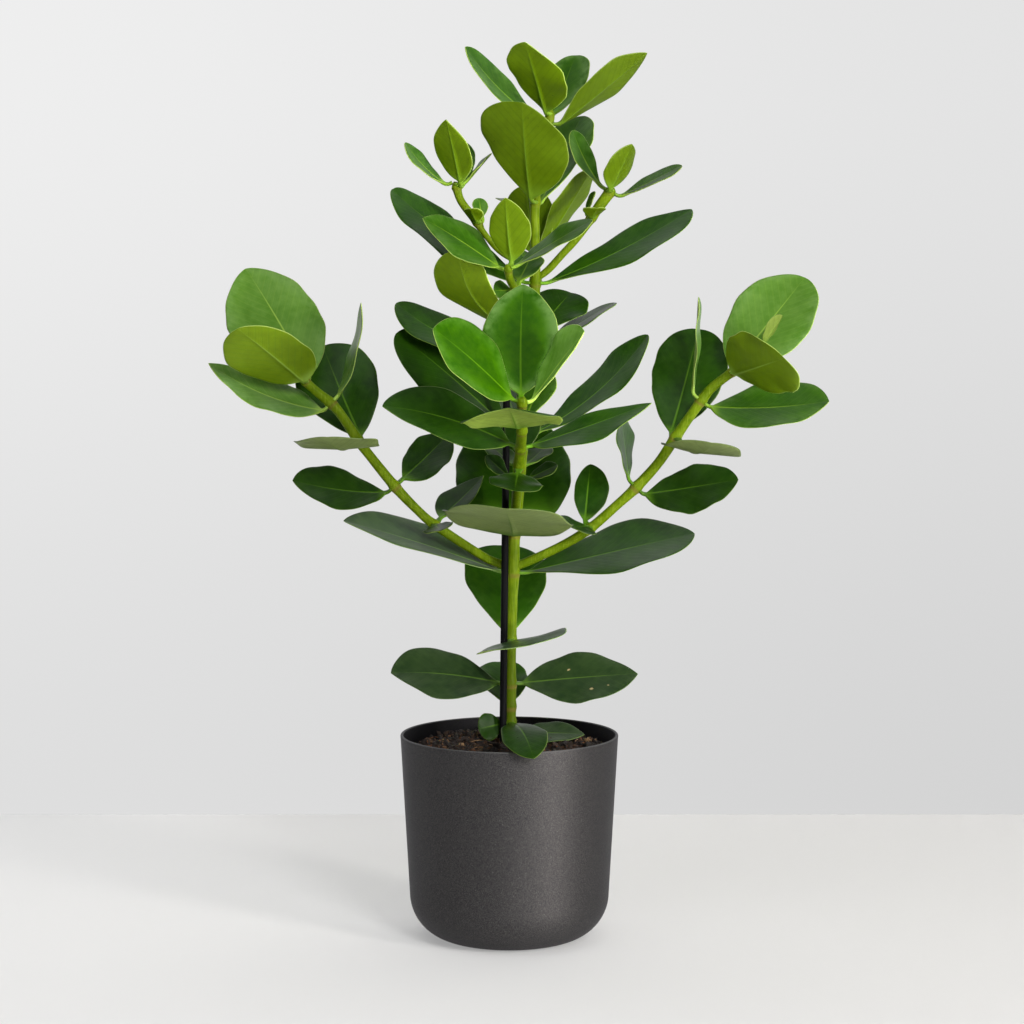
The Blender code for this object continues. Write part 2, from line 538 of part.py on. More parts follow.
def planting_cutters():
    """Guides for the holes in the soil, a little wider and deeper than what stands in them."""
    hollow = make_material("hollow", SOIL_COLOUR, SOIL_FINISH)
    foot, lower = SHOOTS["main"][0], SHOOTS["main"][2]
    stem_route = ((foot[0], foot[1], foot[2] - HOLE_CLEARANCE), lower[:3])
    stem_radius = max(point[3] for point in SHOOTS["main"][:3]) + HOLE_CLEARANCE
    stake_foot = (STAKE_FOOT[0], STAKE_FOOT[1], STAKE_FOOT[2] - HOLE_CLEARANCE)
    stake_radius = STAKE_RADIUS + HOLE_CLEARANCE
    cutters = (
        add_tube(GUIDE + "stem_hole", stem_route, (stem_radius, stem_radius), STEM_SIDES, hollow),
        add_tube(
            GUIDE + "stake_hole", (stake_foot, STAKE_TOP), (stake_radius, stake_radius), STAKE_SIDES, hollow),
    )
    return [hide_as_guide(cutter) for cutter in cutters]


def blade_half_width(share, width, margin):
    """One half's width at a share of the blade's length from base to tip."""
    widening, closing, part = margin
    widest = widening / (widening + closing)
    peak = widest ** widening * (1.0 - widest) ** closing
    share = min(max(share, 0.0), 1.0)
    return 0.5 * width * part * share ** widening * (1.0 - share) ** closing / peak


def seat_on_shoot(shoot, point, direction, grown):
    """Where a leaf's petiole starts on or, if grown into it, in its shoot, and the way out there."""
    points = SHOOTS[shoot]
    _, frames = tube_frames([p[:3] for p in points])
    along = frames[point][0]
    out = direction - along * direction.dot(along)
    out /= np.linalg.norm(out)
    reach = GROWN_DEPTH * points[point][3] if grown else points[point][3] + SEAT_GAP
    start = np.array(points[point][:3], dtype=float) + out * reach
    return start, out, along


def leaf_course(name, row, petiole, grown):
    """Midrib points, directions and side vectors along a leaf."""
    shoot, point, heading, rise, length, _, bend, roll, _, _ = row
    shares = np.linspace(0.0, 1.0, CURVE_STEPS + 1)
    headings = np.radians(heading + SWINGS.get(name, 0.0) * shares)
    level = np.stack([np.cos(headings), np.sin(headings), 0.0 * shares], axis=-1)
    up = np.array((0.0, 0.0, 1.0))
    first = level[0] * np.cos(np.radians(rise)) + up * np.sin(np.radians(rise))
    start, out, along = seat_on_shoot(shoot, point, first, grown)
    angles = np.radians(rise + bend * shares)[:, None]
    course = np.cos(angles) * level + np.sin(angles) * up
    blend = np.clip(shares * length / petiole, 0.0, 1.0)
    blend = (blend * blend * (3.0 - 2.0 * blend))[:, None]
    course = out * (1.0 - blend) + course * blend
    course /= np.linalg.norm(course, axis=1)[:, None]
    steps = 0.5 * (course[1:] + course[:-1]) * length / CURVE_STEPS
    midrib = start + np.vstack([np.zeros(3), np.cumsum(steps, axis=0)])
    flat_side = np.stack([-np.sin(headings), np.cos(headings), 0.0 * shares], axis=-1)
    sides = flat_side - course * np.sum(course * flat_side, axis=1)[:, None]
    sides /= np.linalg.norm(sides, axis=1)[:, None]
    tops = np.cross(course, sides)
    turn = np.radians(roll + TWISTS.get(name, 0.0) * (shares - 0.5)) * blend[:, 0]
    across = np.cos(turn)[:, None] * sides + np.sin(turn)[:, None] * tops
    over = np.cos(turn)[:, None] * tops - np.sin(turn)[:, None] * sides
    return shares, midrib, across, over, out, along


def leaf_rings(name, row, petiole, grown, stations, columns):
    """The upper and lower points of the leaf at each station."""
    length, width, cup, outline = row[4], row[5], row[8], row[9]
    left, right = MARGINS.get(name, (OUTLINES[outline] + (1.0,),) * 2)
    shares, midrib, across, over, out, along = leaf_course(name, row, petiole, grown)
    rings = []
    for station in stations:
        index = int(round(station * CURVE_STEPS))
        reach = shares[index] * length
        blade_share = (reach - BLADE_START * petiole) / (length - BLADE_START * petiole)
        least = TIP_HALF_WIDTH if station > 0.5 else PETIOLE_HALF_WIDTH
        left_half = max(blade_half_width(blade_share, width, left), least)
        right_half = max(blade_half_width(blade_share, width, right), least)
        thinning = min(reach / (NECK_END * petiole), 1.0)
        middle = PETIOLE_THICKNESS + (LEAF_THICKNESS - PETIOLE_THICKNESS) * thinning
        edge = PETIOLE_EDGE_THICKNESS + (LEAF_EDGE_THICKNESS - PETIOLE_EDGE_THICKNESS) * thinning
        side_way, over_way = across[index], over[index]
        if station == 0.0:
            side_way = np.cross(along, out)
            side_way /= np.linalg.norm(side_way)
            if side_way.dot(across[index]) < 0.0:
                side_way = -side_way
            over_way = np.cross(out, side_way)
        ring = []
        for column in columns:
            half = left_half if column > 0.0 else right_half
            lift = cup * half * abs(column) ** CUP_POWER * thinning
            centre = midrib[index] + side_way * half * column + over_way * lift
            thickness = middle + (edge - middle) * abs(column)
            ring.append((centre + over_way * 0.5 * thickness, centre - over_way * 0.5 * thickness))
        rings.append(ring)
    return rings


def leaf_shell(rings):
    """Points and faces of one closed leaf."""
    count = len(rings[0])
    vertices = []
    for ring in rings:
        vertices += [pair[0] for pair in ring]
        vertices += [pair[1] for pair in ring]
    faces = []
    last = count - 1
    for ring in range(len(rings) - 1):
        near = ring * 2 * count
        far = near + 2 * count
        for column in range(last):
            low = near + count + column
            away = far + count + column
            faces.append((near + column, near + column + 1, far + column + 1, far + column))
            faces.append((low + 1, low, away, away + 1))
        faces.append((near, far, far + count, near + count))
        faces.append((near + last, near + count + last, far + count + last, far + last))
    end = (len(rings) - 1) * 2 * count
    for column in range(last):
        faces.append((column + 1, column, column + count, column + count + 1))
        tip = end + column
        faces.append((tip, tip + 1, tip + count + 1, tip + count))
    return vertices, faces


def petiole_of(name, row):
    """A leaf's petiole length."""
    return LONG_PETIOLES.get(name, min(PETIOLE_LENGTH, PETIOLE_SHARE * row[4]))


def leaf_object(name, row, petiole, material, grown):
    """One leaf as a closed solid."""
    small = row[4] < SMALL_LEAF
    stations = SMALL_STATIONS if small else LARGE_STATIONS
    columns = SMALL_COLUMNS if small else LARGE_COLUMNS
    rings = leaf_rings(name.removeprefix(GUIDE), row, petiole, grown, stations, columns)
    vertices, faces = leaf_shell(rings)
    item = add_object(name, vertices, faces, material)
    keep_faces_outward(item)
    return item


def build_leaves():
    """Every leaf that is a piece of its own."""
    for name, row in LEAVES.items():
        colour = YOUNG_LEAF_COLOUR if name in YOUNG_LEAVES else OLD_LEAF_COLOUR
        skin = make_material(name + "_skin", colour, LEAF_FINISH)
        leaf_object(name, row, petiole_of(name, row), skin, False)


def main():
    clear_scene()
    build_pot()
    build_soil(planting_cutters())
    build_stake()
    build_stems()
    build_side_shoots()
    build_leaves()


main()
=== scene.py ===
"""Potted clusia: the looks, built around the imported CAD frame.

The frame's origin is the centre of the pot's flat foot, +Z is up and -Y is the side that faces the
camera. Shoots and leaves are laid out in millimetres and degrees, on the same plan as the CAD's, and
each fine piece stands for the CAD node that it is named after.
"""

import itertools

import bmesh
import bpy
import mathutils
import numpy as np
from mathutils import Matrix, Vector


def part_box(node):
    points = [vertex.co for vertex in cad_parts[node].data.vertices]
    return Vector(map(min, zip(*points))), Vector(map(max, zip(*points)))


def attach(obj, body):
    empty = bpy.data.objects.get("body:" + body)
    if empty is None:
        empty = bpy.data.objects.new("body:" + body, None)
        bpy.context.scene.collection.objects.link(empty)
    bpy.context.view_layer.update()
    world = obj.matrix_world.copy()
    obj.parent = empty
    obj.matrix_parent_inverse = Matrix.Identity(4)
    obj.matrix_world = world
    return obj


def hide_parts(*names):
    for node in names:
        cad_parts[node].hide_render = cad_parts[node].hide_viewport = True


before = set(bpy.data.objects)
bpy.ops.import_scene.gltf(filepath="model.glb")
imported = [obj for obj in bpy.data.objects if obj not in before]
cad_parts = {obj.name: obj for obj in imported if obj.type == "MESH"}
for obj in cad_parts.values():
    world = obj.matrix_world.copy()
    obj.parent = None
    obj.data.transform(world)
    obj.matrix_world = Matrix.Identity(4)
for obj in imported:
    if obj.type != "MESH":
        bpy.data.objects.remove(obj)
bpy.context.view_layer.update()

MM = 0.001
ROOT = "root"           # a part with no joints has this one body

# Shoots: points (x, y, z, radius) from foot to tip, in mm. Leaves sit on the points.
# Those in TRUNK belong to the CAD node "stems"; each other shoot is a node of its own.
TRUNK = ("main", "left", "right", "front")
SHOOTS = {
    "main": (
        (1, 0, 118, 4.4), (1, 0, 169, 4.6), (1, 0, 178, 4.6), (1, 0, 192, 4.5), (1, 0, 211, 4.8),
        (1, 0, 230, 4.5), (1, 0, 247, 4.9), (2, 0, 280, 4.8), (3, 0, 303, 5.4), (4, 0, 335, 5.0),
        (8, 0, 371, 4.4), (12, 0, 418, 4.4), (16, 0, 455, 4.2), (18, 0, 484, 4.3), (19, 0, 503, 4.2),
        (21, 0, 540, 4.4), (21, 0, 571, 3.8), (21, 0, 605, 4.0), (25, 0, 635, 3.5), (32, 0, 669, 3.6),
        (33, 0, 676, 3.0), (34, 0, 681, 1.6),
    ),
    "left": (
        (1, 0, 308, 3.6), (-13, 0, 312, 3.6), (-26, 0, 319, 3.6), (-61, 0, 342, 3.9), (-76, 0, 355, 3.7),
        (-94, 0, 374, 4.2), (-115, 0, 400, 3.9), (-124, 0, 412, 4.3), (-138, 0, 433, 3.9),
        (-146, 0, 442, 4.3), (-157, 0, 451, 3.8), (-167, 0, 460, 3.4), (-171, 0, 464, 1.8),
    ),
    "right": (
        (5, 0, 308, 3.6), (20, 0, 314, 3.7), (45, 0, 326, 3.7), (66, 0, 339, 4.0), (90, 0, 360, 3.8),
        (104, 0, 373, 4.3), (122, 0, 393, 4.0), (136, 0, 414, 4.3), (147, 0, 430, 3.9), (157, 0, 444, 4.1),
        (166, 0, 455, 3.8), (183, 0, 468, 3.6), (193, -4, 475, 2.6), (208, -12, 486, 2.0),
        (210, -13, 489, 1.2),
    ),
    "front": (
        (4, -2, 345, 3.2), (5, -14, 356, 3.6), (7, -40, 380, 4.4), (8, -54, 394, 4.2), (9, -70, 409, 4.3),
        (10, -95, 424, 3.9), (10, -104, 433, 3.8), (10, -115, 446, 3.6), (11, -117, 449, 3.0),
        (11, -118, 451, 1.6),
    ),
    "back": (
        (5, 2, 345, 3.2), (6, 12, 362, 3.6), (8, 28, 392, 4.0), (10, 44, 424, 3.8), (11, 56, 452, 3.4),
        (11, 58, 457, 1.8),
    ),
    "upper_left": (
        (20, 0, 546, 2.2), (10, 0, 555, 2.5), (-8, 0, 566, 2.4), (-21, 0, 581, 2.5), (-26, 0, 589, 3.4),
        (-39, 0, 606, 3.2), (-43, 0, 618, 3.4), (-45, 0, 622, 1.8),
    ),
    "upper_right": (
        (22, 0, 543, 2.4), (32, 0, 551, 3.0), (43, 0, 563, 3.0), (54, 0, 575, 3.1), (67, 0, 593, 3.8),
        (74, 0, 603, 4.4), (82, 0, 614, 4.2), (84, 0, 619, 2.0),
    ),
    "upper_front": (
        (21, -1, 532, 2.6), (16, -14, 531, 2.8), (6, -40, 534, 3.0), (1, -54, 541, 3.2), (-1, -61, 550, 2.8),
        (-2, -63, 554, 1.6),
    ),
    "upper_back": (
        (21, 1, 532, 2.6), (24, 20, 541, 2.8), (22, 44, 551, 3.0), (20, 58, 560, 2.8),
        (19, 62, 564, 1.6),
    ),
}


def alike(widening, closing, share=1.0):
    """Two margins of one shape. A margin holds how slowly it widens from the leaf's base, how sharply it
    closes at the tip, and its greatest width as a share of half the leaf's.
    """
    return ((widening, closing, share),) * 2


# Usual margins
BROAD = alike(0.62, 0.48)
ROUND = alike(0.78, 0.5)
OVAL = alike(1.05, 0.62)
POINTED = alike(1.25, 0.76)

# Leaves that are nodes of their own, by the shoot that carries them. Each row holds the node's name, the
# shoot's point, heading, rise, length, width, bend, roll, cup and margins. Heading is the compass
# direction (0 = +X, 90 = +Y) and rise the angle above level at the base. Bend is added to the rise
# along the leaf, roll tips it about its midrib and cup lifts its edges, as a share of its half width.
# The margins are the left and the right one, as seen from the stem and from above.
# Lengths in mm, angles in degrees. Each shoot's leaves go from its foot to its tip.
LEAVES_OF = {
    "main": (
        ("leaf_foot_front", 2, -80, 12, 103, 37, -36, 0, 0.05, ((0.9, 0.8, 1.02), (0.95, 0.45, 1.05))),
        ("leaf_foot_left", 2, 205, -8, 25, 23, 0, -74, 0.05, ROUND),
        ("leaf_foot_right", 1, -6, 3.5, 57, 33, -6, 22, 0.1, alike(0.7, 0.85)),
        ("leaf_foot_back", 3, 100, 36, 60, 43, -8, 0, 0.1, ROUND),
        ("leaf_low_left", 4, 182, 13, 95, 62, -14, -33, 0.08, ((0.9, 1.0, 1.05), (1.1, 0.62, 0.98))),
        ("leaf_low_right", 4, -2, 7, 101, 64, -4, 34, 0.08, ((0.85, 0.95, 0.9), (0.95, 0.85, 1.02))),
        ("leaf_second_front", 6, -81, 7, 95, 75, -3, 13, 0.04, OVAL),
        ("leaf_second_back", 6, 94, 46, 112, 70, -5, 0, 0.1, ((0.95, 0.45, 1.0), (0.95, 0.5, 1.0))),
        ("leaf_great_left", 8, 180, 20, 141, 64, -4, -17, 0.1, ((1.0, 0.85, 0.68), (1.0, 0.66, 1.2))),
        ("leaf_great_right", 8, 0, 13.5, 148, 88, -1, 22, 0.1, ((1.15, 0.76, 0.92), (1.15, 0.66, 1.0))),
        ("leaf_great_front", 9, -93, 15.5, 124, 106, 0, -5, 0.04, ((0.45, 0.42, 0.95), (0.45, 0.42, 1.02))),
        ("leaf_great_back", 9, 90, 46, 145, 98, 0, 0, 0.1, alike(0.42, 0.52)),
        ("leaf_middle_left", 11, 180, 46, 130, 82, -10, -35, 0.08, OVAL),
        ("leaf_middle_right", 11, 0, 24, 129, 62, 33, 22, 0.08, OVAL),
        ("leaf_inner_left", 13, 172, -2, 118, 58, 44, -25, 0.08, OVAL),
        ("leaf_inner_right", 13, 30, 34.5, 88, 34, -10, 0, 0.08, OVAL),
        ("leaf_inner_front", 14, -157, 5, 103, 68, 70, 0, 0.08, ((0.78, 0.5, 0.7), (0.78, 0.5, 1.0))),
        ("leaf_inner_back", 14, 52, 34, 58, 52, 0, 18, 0.1, ROUND),
        ("leaf_wing_left", 15, 180, 24.5, 137, 64, 20, -28, 0.1, ((0.85, 0.62, 1.24), (0.9, 0.46, 0.84))),
        ("leaf_wing_right", 15, 0, 20.5, 138, 70, 12, 25, 0.1, ((1.1, 0.8, 0.76), (1.25, 0.62, 1.12))),
        ("leaf_upper_front", 17, -99, 57, 98, 70, 0, -10, 0.08, ((0.8, 0.85, 1.0), (1.05, 0.42, 1.06))),
        ("leaf_upper_back", 17, 50, 54, 96, 54, 0, 0, 0.1, OVAL),
        ("leaf_crown_left", 19, 183, 30, 90, 34, 28, -34, 0.1, ((0.95, 0.85, 0.95), (0.95, 0.6, 1.2))),
        ("leaf_crown_right", 19, -8, 36, 96, 46, 4, -26, 0.1, ((0.95, 0.95, 0.8), (1.0, 0.85, 0.95))),
        ("leaf_tip_front", 20, -110, 46, 76, 52, 0, -14, 0.02, ((0.9, 1.0, 1.08), (1.1, 0.72, 0.92))),
        ("leaf_tip_back", 20, 62, 51, 72, 42, 0, 0, 0.1, BROAD),
    ),
    "left": (
        ("leaf_left_first", 3, 40, 30, 62, 34, 10, 10, 0.1, ((0.7, 1.0, 1.2), (0.9, 1.2, 0.8))),
        ("leaf_left_second_out", 5, 180, -3, 83, 50, 20, -37, 0.08, ((0.75, 0.95, 1.0), (0.95, 0.5, 1.02))),
        ("leaf_left_second_in", 5, 25, 36, 62, 48, 10, 26, 0.1, ((0.9, 0.75, 0.9), (0.6, 0.75, 1.1))),
        ("leaf_left_third_front", 7, -104, -20, 76, 70, 50, 2, 0.1, OVAL),
        ("leaf_left_third_back", 7, 128, 53, 98, 68, 0, -28, 0.08, ROUND),
        ("leaf_left_fourth_out", 9, 180, 8, 107, 54, 28, -30, 0.08, ((0.7, 0.95, 0.88), (0.85, 0.95, 1.0))),
        ("leaf_left_fourth_in", 9, 0, 59, 84, 50, 32, 12, 0.06, alike(0.65, 0.9, 0.9)),
        ("leaf_left_tip_front", 11, -134, 33, 86, 68, -2, 32, 0.06, ((0.4, 0.62, 0.8), (0.62, 0.5, 1.05))),
        ("leaf_left_tip_back", 11, 146, 53, 116, 84, 0, -33, 0.08, ((0.7, 0.76, 1.06), (0.66, 0.66, 0.86))),
    ),
    "right": (
        ("leaf_right_first", 3, 80, 56, 60, 30, 0, 0, 0.1, ((0.8, 0.7, 0.75), (0.75, 0.7, 1.2))),
        ("leaf_right_second_out", 5, 0, 8, 83, 54, 2, 42, 0.08, ((0.95, 0.6, 0.86), (0.7, 0.85, 1.12))),
        ("leaf_right_second_in", 5, 180, 83, 58, 52, 0, -17, 0.06, OVAL),
        ("leaf_right_third_front", 7, -75, -27, 84, 66, 54, -9, 0.08, OVAL),
        ("leaf_right_third_back", 7, 62, 57, 107, 66, 0, 15, 0.08, ((0.78, 0.5, 0.9), (0.78, 0.5, 1.0))),
        ("leaf_right_fourth_out", 9, 0, -4, 103, 60, 13, 31, 0.08, ((0.95, 0.52, 1.2), (0.62, 0.85, 1.12))),
        ("leaf_right_fourth_in", 9, 180, 95, 84, 46, -4, -8, 0.06, OVAL),
        ("leaf_right_tip_front", 11, -65, 10, 84, 68, 0, -45, 0.06, BROAD),
        ("leaf_right_tip_back", 11, 30, 45, 109, 76, 0, 30, 0.08, ((0.66, 0.5, 0.98), (0.52, 0.55, 0.98))),
    ),
    "front": (
        ("leaf_front_left", 4, 182, 28, 111, 60, -22, -40, 0.08, ((0.7, 0.95, 0.92), (0.85, 0.62, 1.0))),
        ("leaf_front_right", 4, 0, 18, 106, 66, 3, 20, 0.08, ((1.0, 1.05, 0.62), (0.8, 1.0, 1.12))),
        ("leaf_front_low", 6, -97, 27, 68, 78, -18, 2, -0.2, alike(0.9, 0.4)),
        ("leaf_front_behind", 5, 66, 44, 60, 32, 0, 0, 0.1, OVAL),
        ("leaf_rosette_left", 7, 196, 45, 88, 66, -8, -47, 0.08, ((0.72, 0.72, 0.93), (1.0, 0.66, 1.06))),
        ("leaf_rosette_right", 7, -32, 49, 76, 44, 0, 50, 0.08, ((0.95, 0.55, 1.34), (0.85, 0.66, 0.34))),
        ("leaf_rosette_back", 7, 88, 67, 99, 60, 0, 0, 0.1, alike(0.8, 0.78)),
    ),
}
LEAVES = {row[0]: (shoot,) + row[1:] for shoot, rows in LEAVES_OF.items() for row in rows}
LONG_PETIOLES = {       # mm, where a petiole is longer than PETIOLE_LENGTH
    "leaf_middle_left": 16.0, "leaf_great_front": 24.0, "leaf_great_back": 34.0, "leaf_second_back": 20.0,
    "leaf_upper_front": 18.0, "leaf_front_low": 14.0,
}
TWISTS = {"leaf_crown_right": -18.0}    # degrees that the tip end turns against the base end
SWINGS = {"leaf_inner_front": 42.0}     # degrees that the heading turns along the leaf

# Small leaves that are one solid with their shoot, in rows like those of LEAVES_OF but without a name
SMALL_LEAVES_OF = {
    "left": ((3, -78, -4, 32, 26, 0, 18, 0.1, ROUND),),
    "right": (
        (3, -120, 4, 35, 36, 0, -24, 0.1, ROUND),
        (13, -15, 58, 32, 27, 0, -10, 0.15, alike(0.6, 0.45)),
    ),
    "front": (
        (2, 180, 42, 30, 20, 0, -40, 0.1, POINTED),
        (2, 0, 26, 31, 20, 0, 30, 0.1, OVAL),
        (3, -95, -21, 38, 43, 0, -8, 0.05, ROUND),
        (3, 80, 62, 48, 30, 0, 0, 0.1, OVAL),
    ),
    "back": (
        (2, 118, 20, 44, 26, 0, 0, 0.1, ROUND),
        (2, 62, 20, 44, 26, 0, 0, 0.1, ROUND),
        (3, 100, 25, 90, 50, 0, 0, 0.1, ROUND),
        (4, 165, 40, 66, 44, 0, 0, 0.1, OVAL),
        (4, 62, 40, 56, 40, 0, 0, 0.1, OVAL),
    ),
    "upper_left": (
        (7, 180, 30, 53, 23, 28, -28, 0.1, OVAL),
        (6, -128, 70, 58, 38, 0, 0, 0.06, ((0.85, 1.2, 0.88), (0.85, 0.8, 1.1))),
        (6, 0, 50, 37, 18, -5, 8, 0.12, OVAL),
        (6, 110, 82, 38, 20, 0, 0, 0.12, ROUND),
        (4, -122, 42, 17, 18, 0, 0, 0.22, ROUND),
        (4, 112, 70, 21, 14, 0, 0, 0.15, OVAL),
    ),
    "upper_right": (
        (6, 172, 52, 56, 24, 20, -38, 0.12, OVAL),
        (6, -42, 57, 47, 34, 0, 0, 0.2, ((0.75, 0.85, 1.15), (0.75, 0.8, 0.9))),
        (6, 0, 25, 61, 25, 2, 24, 0.12, OVAL),
        (4, -70, 30, 15, 20, 0, 0, 0.22, ROUND),
        (4, 20, 68, 22, 14, 0, 0, 0.15, OVAL),
    ),
    "upper_front": (
        (4, 182, 36, 77, 47, -6, -36, 0.08, ((0.9, 0.92, 1.0), (0.95, 0.78, 1.0))),
        (4, -105, 68, 59, 35, 0, 0, 0.1, ((0.85, 0.85, 1.05), (0.9, 0.9, 0.9))),
        (4, 0, 34, 75, 42, -6, 20, 0.08, OVAL),
        (2, 60, 45, 34, 32, 0, 0, 0.1, ROUND),
        (2, -160, 0, 17, 18, 0, -60, 0.15, ROUND),
    ),
    "upper_back": (
        (3, -113, 74, 62, 43, 0, 0, 0.1, BROAD),
        (3, -36, 50, 92, 40, 4, 0, 0.1, OVAL),
        (3, 120, 80, 88, 20, -80, 0, 0.1, OVAL),
        (2, 120, 38, 26, 18, 0, 0, 0.1, OVAL),
    ),
}
# The same by shoot, each as a pair of a name such as "left_0" and a row like those of LEAVES
SMALL_LEAVES = {
    shoot: [("%s_%d" % (shoot, number), (shoot,) + row) for number, row in enumerate(rows)]
    for shoot, rows in SMALL_LEAVES_OF.items()
}

# Leaf shape, as in the CAD
PETIOLE_LENGTH = 9.0
PETIOLE_SHARE = 0.22    # a small leaf's petiole is at most this share of its length
PETIOLE_HALF_WIDTH = 2.0
PETIOLE_THICKNESS = 3.2
PETIOLE_FLARE = 1.6     # extra half width where the petiole clasps the stem
FLARE_LENGTH = 3.0
BLADE_START = 0.6       # the blade begins at this share of the petiole
NECK_END = 1.6          # in petiole lengths: past here the leaf has its full thinness
BLADE_THICKNESS = 1.2
ROUND_SECTION = 2.0     # power of the section's outline at the petiole
FLAT_SECTION = 10.0     # and in the blade
LEAF_SEAT = 0.4         # mm into the bark, where a petiole starts
CUP_POWER = 1.4         # how late the cup rises from the midrib to the edge
COURSE_STEPS = 160      # steps in which a leaf's midrib is followed
SMALL_LEAF = 48.0       # leaves shorter than this get a plainer mesh
LARGE_MESH = (46, 15)   # stations along the leaf, columns from the midrib to the edge
SMALL_MESH = (28, 9)
EDGE_CROWDING = 0.35    # share of even spacing left in the columns, which crowd at the midrib and the edge
END_CROWDING = 0.75     # how much closer the stations stand at the leaf's two ends
TIP_SHARPNESS = 24      # how late the blade thins towards its tip
KEEL_DEPTH = 1.5        # the midrib under the blade, at the leaf's base
KEEL_WIDTH = 1.3
KEEL_TIP = 0.4          # the keel is this many KEEL_WIDTHs wide at the tip, and 1 more at the base
GROOVE_DEPTH = 0.25     # the midrib's line on the upper face
GROOVE_WIDTH = 0.9
WAVE = 0.05             # height of the edge's waves, as a share of the half width
WAVE_TURNS = (1.4, 2.6) # how many waves an edge has, at least and at most
SCALLOP = 0.014         # the edge's waves within the blade, as a share of the half width
SCALLOP_TURNS = 2.3     # of these for each of the other waves
SICKLE = 0.012          # sideways bow, as a share of the length

# Pot, from the foot up
POT_FOOT_RADIUS = 47.0
POT_WALL_RADIUS_AT_FLOOR = 80.5
POT_EDGE_RADIUS = 37.0
POT_WALL = 2.6
POT_FLOOR = 4.0
POT_LIP_ROUND = 1.1
POT_RIM_HEIGHT = 169.0
POT_SEGMENTS = 192

# Soil
SOIL_EDGE_RADIUS = 85.0
SOIL_EDGE = 148.0
SOIL_CROWN = 164.0
# Distance from the axis and height of the soil's smooth surface
SOIL_PROFILE = ((0.0, SOIL_CROWN), (36.0, 162.5), (72.0, 159.5), (80.0, 155.0), (SOIL_EDGE_RADIUS, SOIL_EDGE))
SOIL_DEPTH = 12.0       # from the bed's edge down to its underside
LUMP_SIZES = (26.0, 15.0, 9.0, 5.5, 3.5)
LUMP_HEIGHT = 0.035     # as a share of a lump's size
WAVES_PER_SIZE = 5
SOIL_RINGS = 69
SOIL_SEGMENTS = 200
SOIL_SINK = 1.0         # how far the bed lies below the smooth surface, which the crumbs fill
CALM_WIDTH = 6.0        # the lumps fade out over this width along the edge
CRUMB_COUNT = 2600
CRUMB_SIZE = (0.9, 2.4) # the smallest crumbs' radius, and what the largest add to it
CRUMB_STRETCH = (1.0, 2.4)
CRUMB_HEIGHT = (0.35, 0.9)
CRUMB_ANGULAR = (0.65, 1.25)    # least and greatest distance of a corner, in radii
CRUMB_SINK = 0.7
CRUMB_REACH = 82.0      # no crumb's centre lies further from the axis
CRUMB_LIMIT = 84.5      # and none lies nearer to this radius than twice its own
STEM_ROOM = 8.0         # no crumb's centre lies nearer to the stem's axis
FIBRE_COUNT = 260
FIBRE_REACH = 78.0
FIBRE_RINGS = 6
FIBRE_SIDES = 4
FIBRE_LENGTH = (4.0, 12.0)
FIBRE_RADIUS = (0.16, 0.4)
FIBRE_COLOUR = (0.6, 1.0)   # from 0 for the darkest crumbs to 1 for the palest
FIBRE_BOW = 2.0         # mm to either side
FIBRE_RISE = (-0.5, 1.8)
FIBRE_LIFT = 0.2

# Stake
STAKE_SIDES = 32
STAKE_RINGS = 60
STAKE_DOME = 0.99       # share of the stake's length where its rounded top begins

# Stem
STEM_SIDES = 26
STEM_STEP = 1.6         # mm between the rings of a stem's mesh
NODE_SWELLING = 0.75    # extra radius at a leaf pair
NODE_LENGTH = 3.2
SCAR_LENGTH = 1.1
SCAR_DROP = 2.6         # how far a scar lies below its leaf pair
BLUNTNESS = 2.0         # tip radii over which a shoot's end closes
RIDGES = ((3.0, 0.025, 0.0), (7.0, 0.012, 1.0))    # count around the stem, height as a share, start

rng = np.random.default_rng(7)


# ---------------------------------------------------------------- meshes

def mesh_piece(name, points, faces, attributes=None):
    """A smooth mesh object from points in mm; attributes are three numbers for each point."""
    mesh = bpy.data.meshes.new(name)
    mesh.from_pydata((np.asarray(points, dtype=float) * MM).tolist(), [], faces)
    for key, values in (attributes or {}).items():
        layer = mesh.attributes.new(key, "FLOAT_VECTOR", "POINT")
        layer.data.foreach_set("vector", np.asarray(values, dtype=np.float32).ravel())
    mesh.shade_smooth()
    piece = bpy.data.objects.new(name, mesh)
    bpy.context.scene.collection.objects.link(piece)
    return piece


def finish_piece(piece, material, slot, *nodes):
    """Give a piece its material, hang it on the root body and hide the CAD nodes it stands for."""
    piece.data.materials.append(material)
    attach(piece, ROOT)
    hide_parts(*nodes)


def outward(piece):
    """Make every face point out."""
    shape = bmesh.new()
    shape.from_mesh(piece.data)
    bmesh.ops.recalc_face_normals(shape, faces=shape.faces)
    shape.to_mesh(piece.data)
    shape.free()
    return piece


def ring_faces(rings, count):
    """Quads between closed rings of points that follow each other, each ring with the same count."""
    faces = []
    for ring in range(rings - 1):
        for index in range(count):
            after = (index + 1) % count
            low = ring * count
            faces.append((low + index, low + after, low + count + after, low + count + index))
    return faces


def tube_faces(rings, count):
    """Quads over the rings of a tube, and its two end caps."""
    last = (rings - 1) * count
    return ring_faces(rings, count) + [tuple(range(count))[::-1], tuple(range(last, last + count))]


def shifted(faces, start):
    """Faces whose points lie further on in a list of points."""
    return [tuple(start + i for i in face) for face in faces]


def joined_mesh(name, parts, keys):
    """One mesh of several closed parts. Each holds its faces, its points and the values for each key."""
    faces = []
    start = 0
    for part_faces, points, *_ in parts:
        faces += shifted(part_faces, start)
        start += points.size // 3
    _, *layers = zip(*parts)
    points, *values = (np.vstack([part.reshape(-1, 3) for part in layer]) for layer in layers)
    return outward(mesh_piece(name, points, faces, dict(zip(keys, values))))


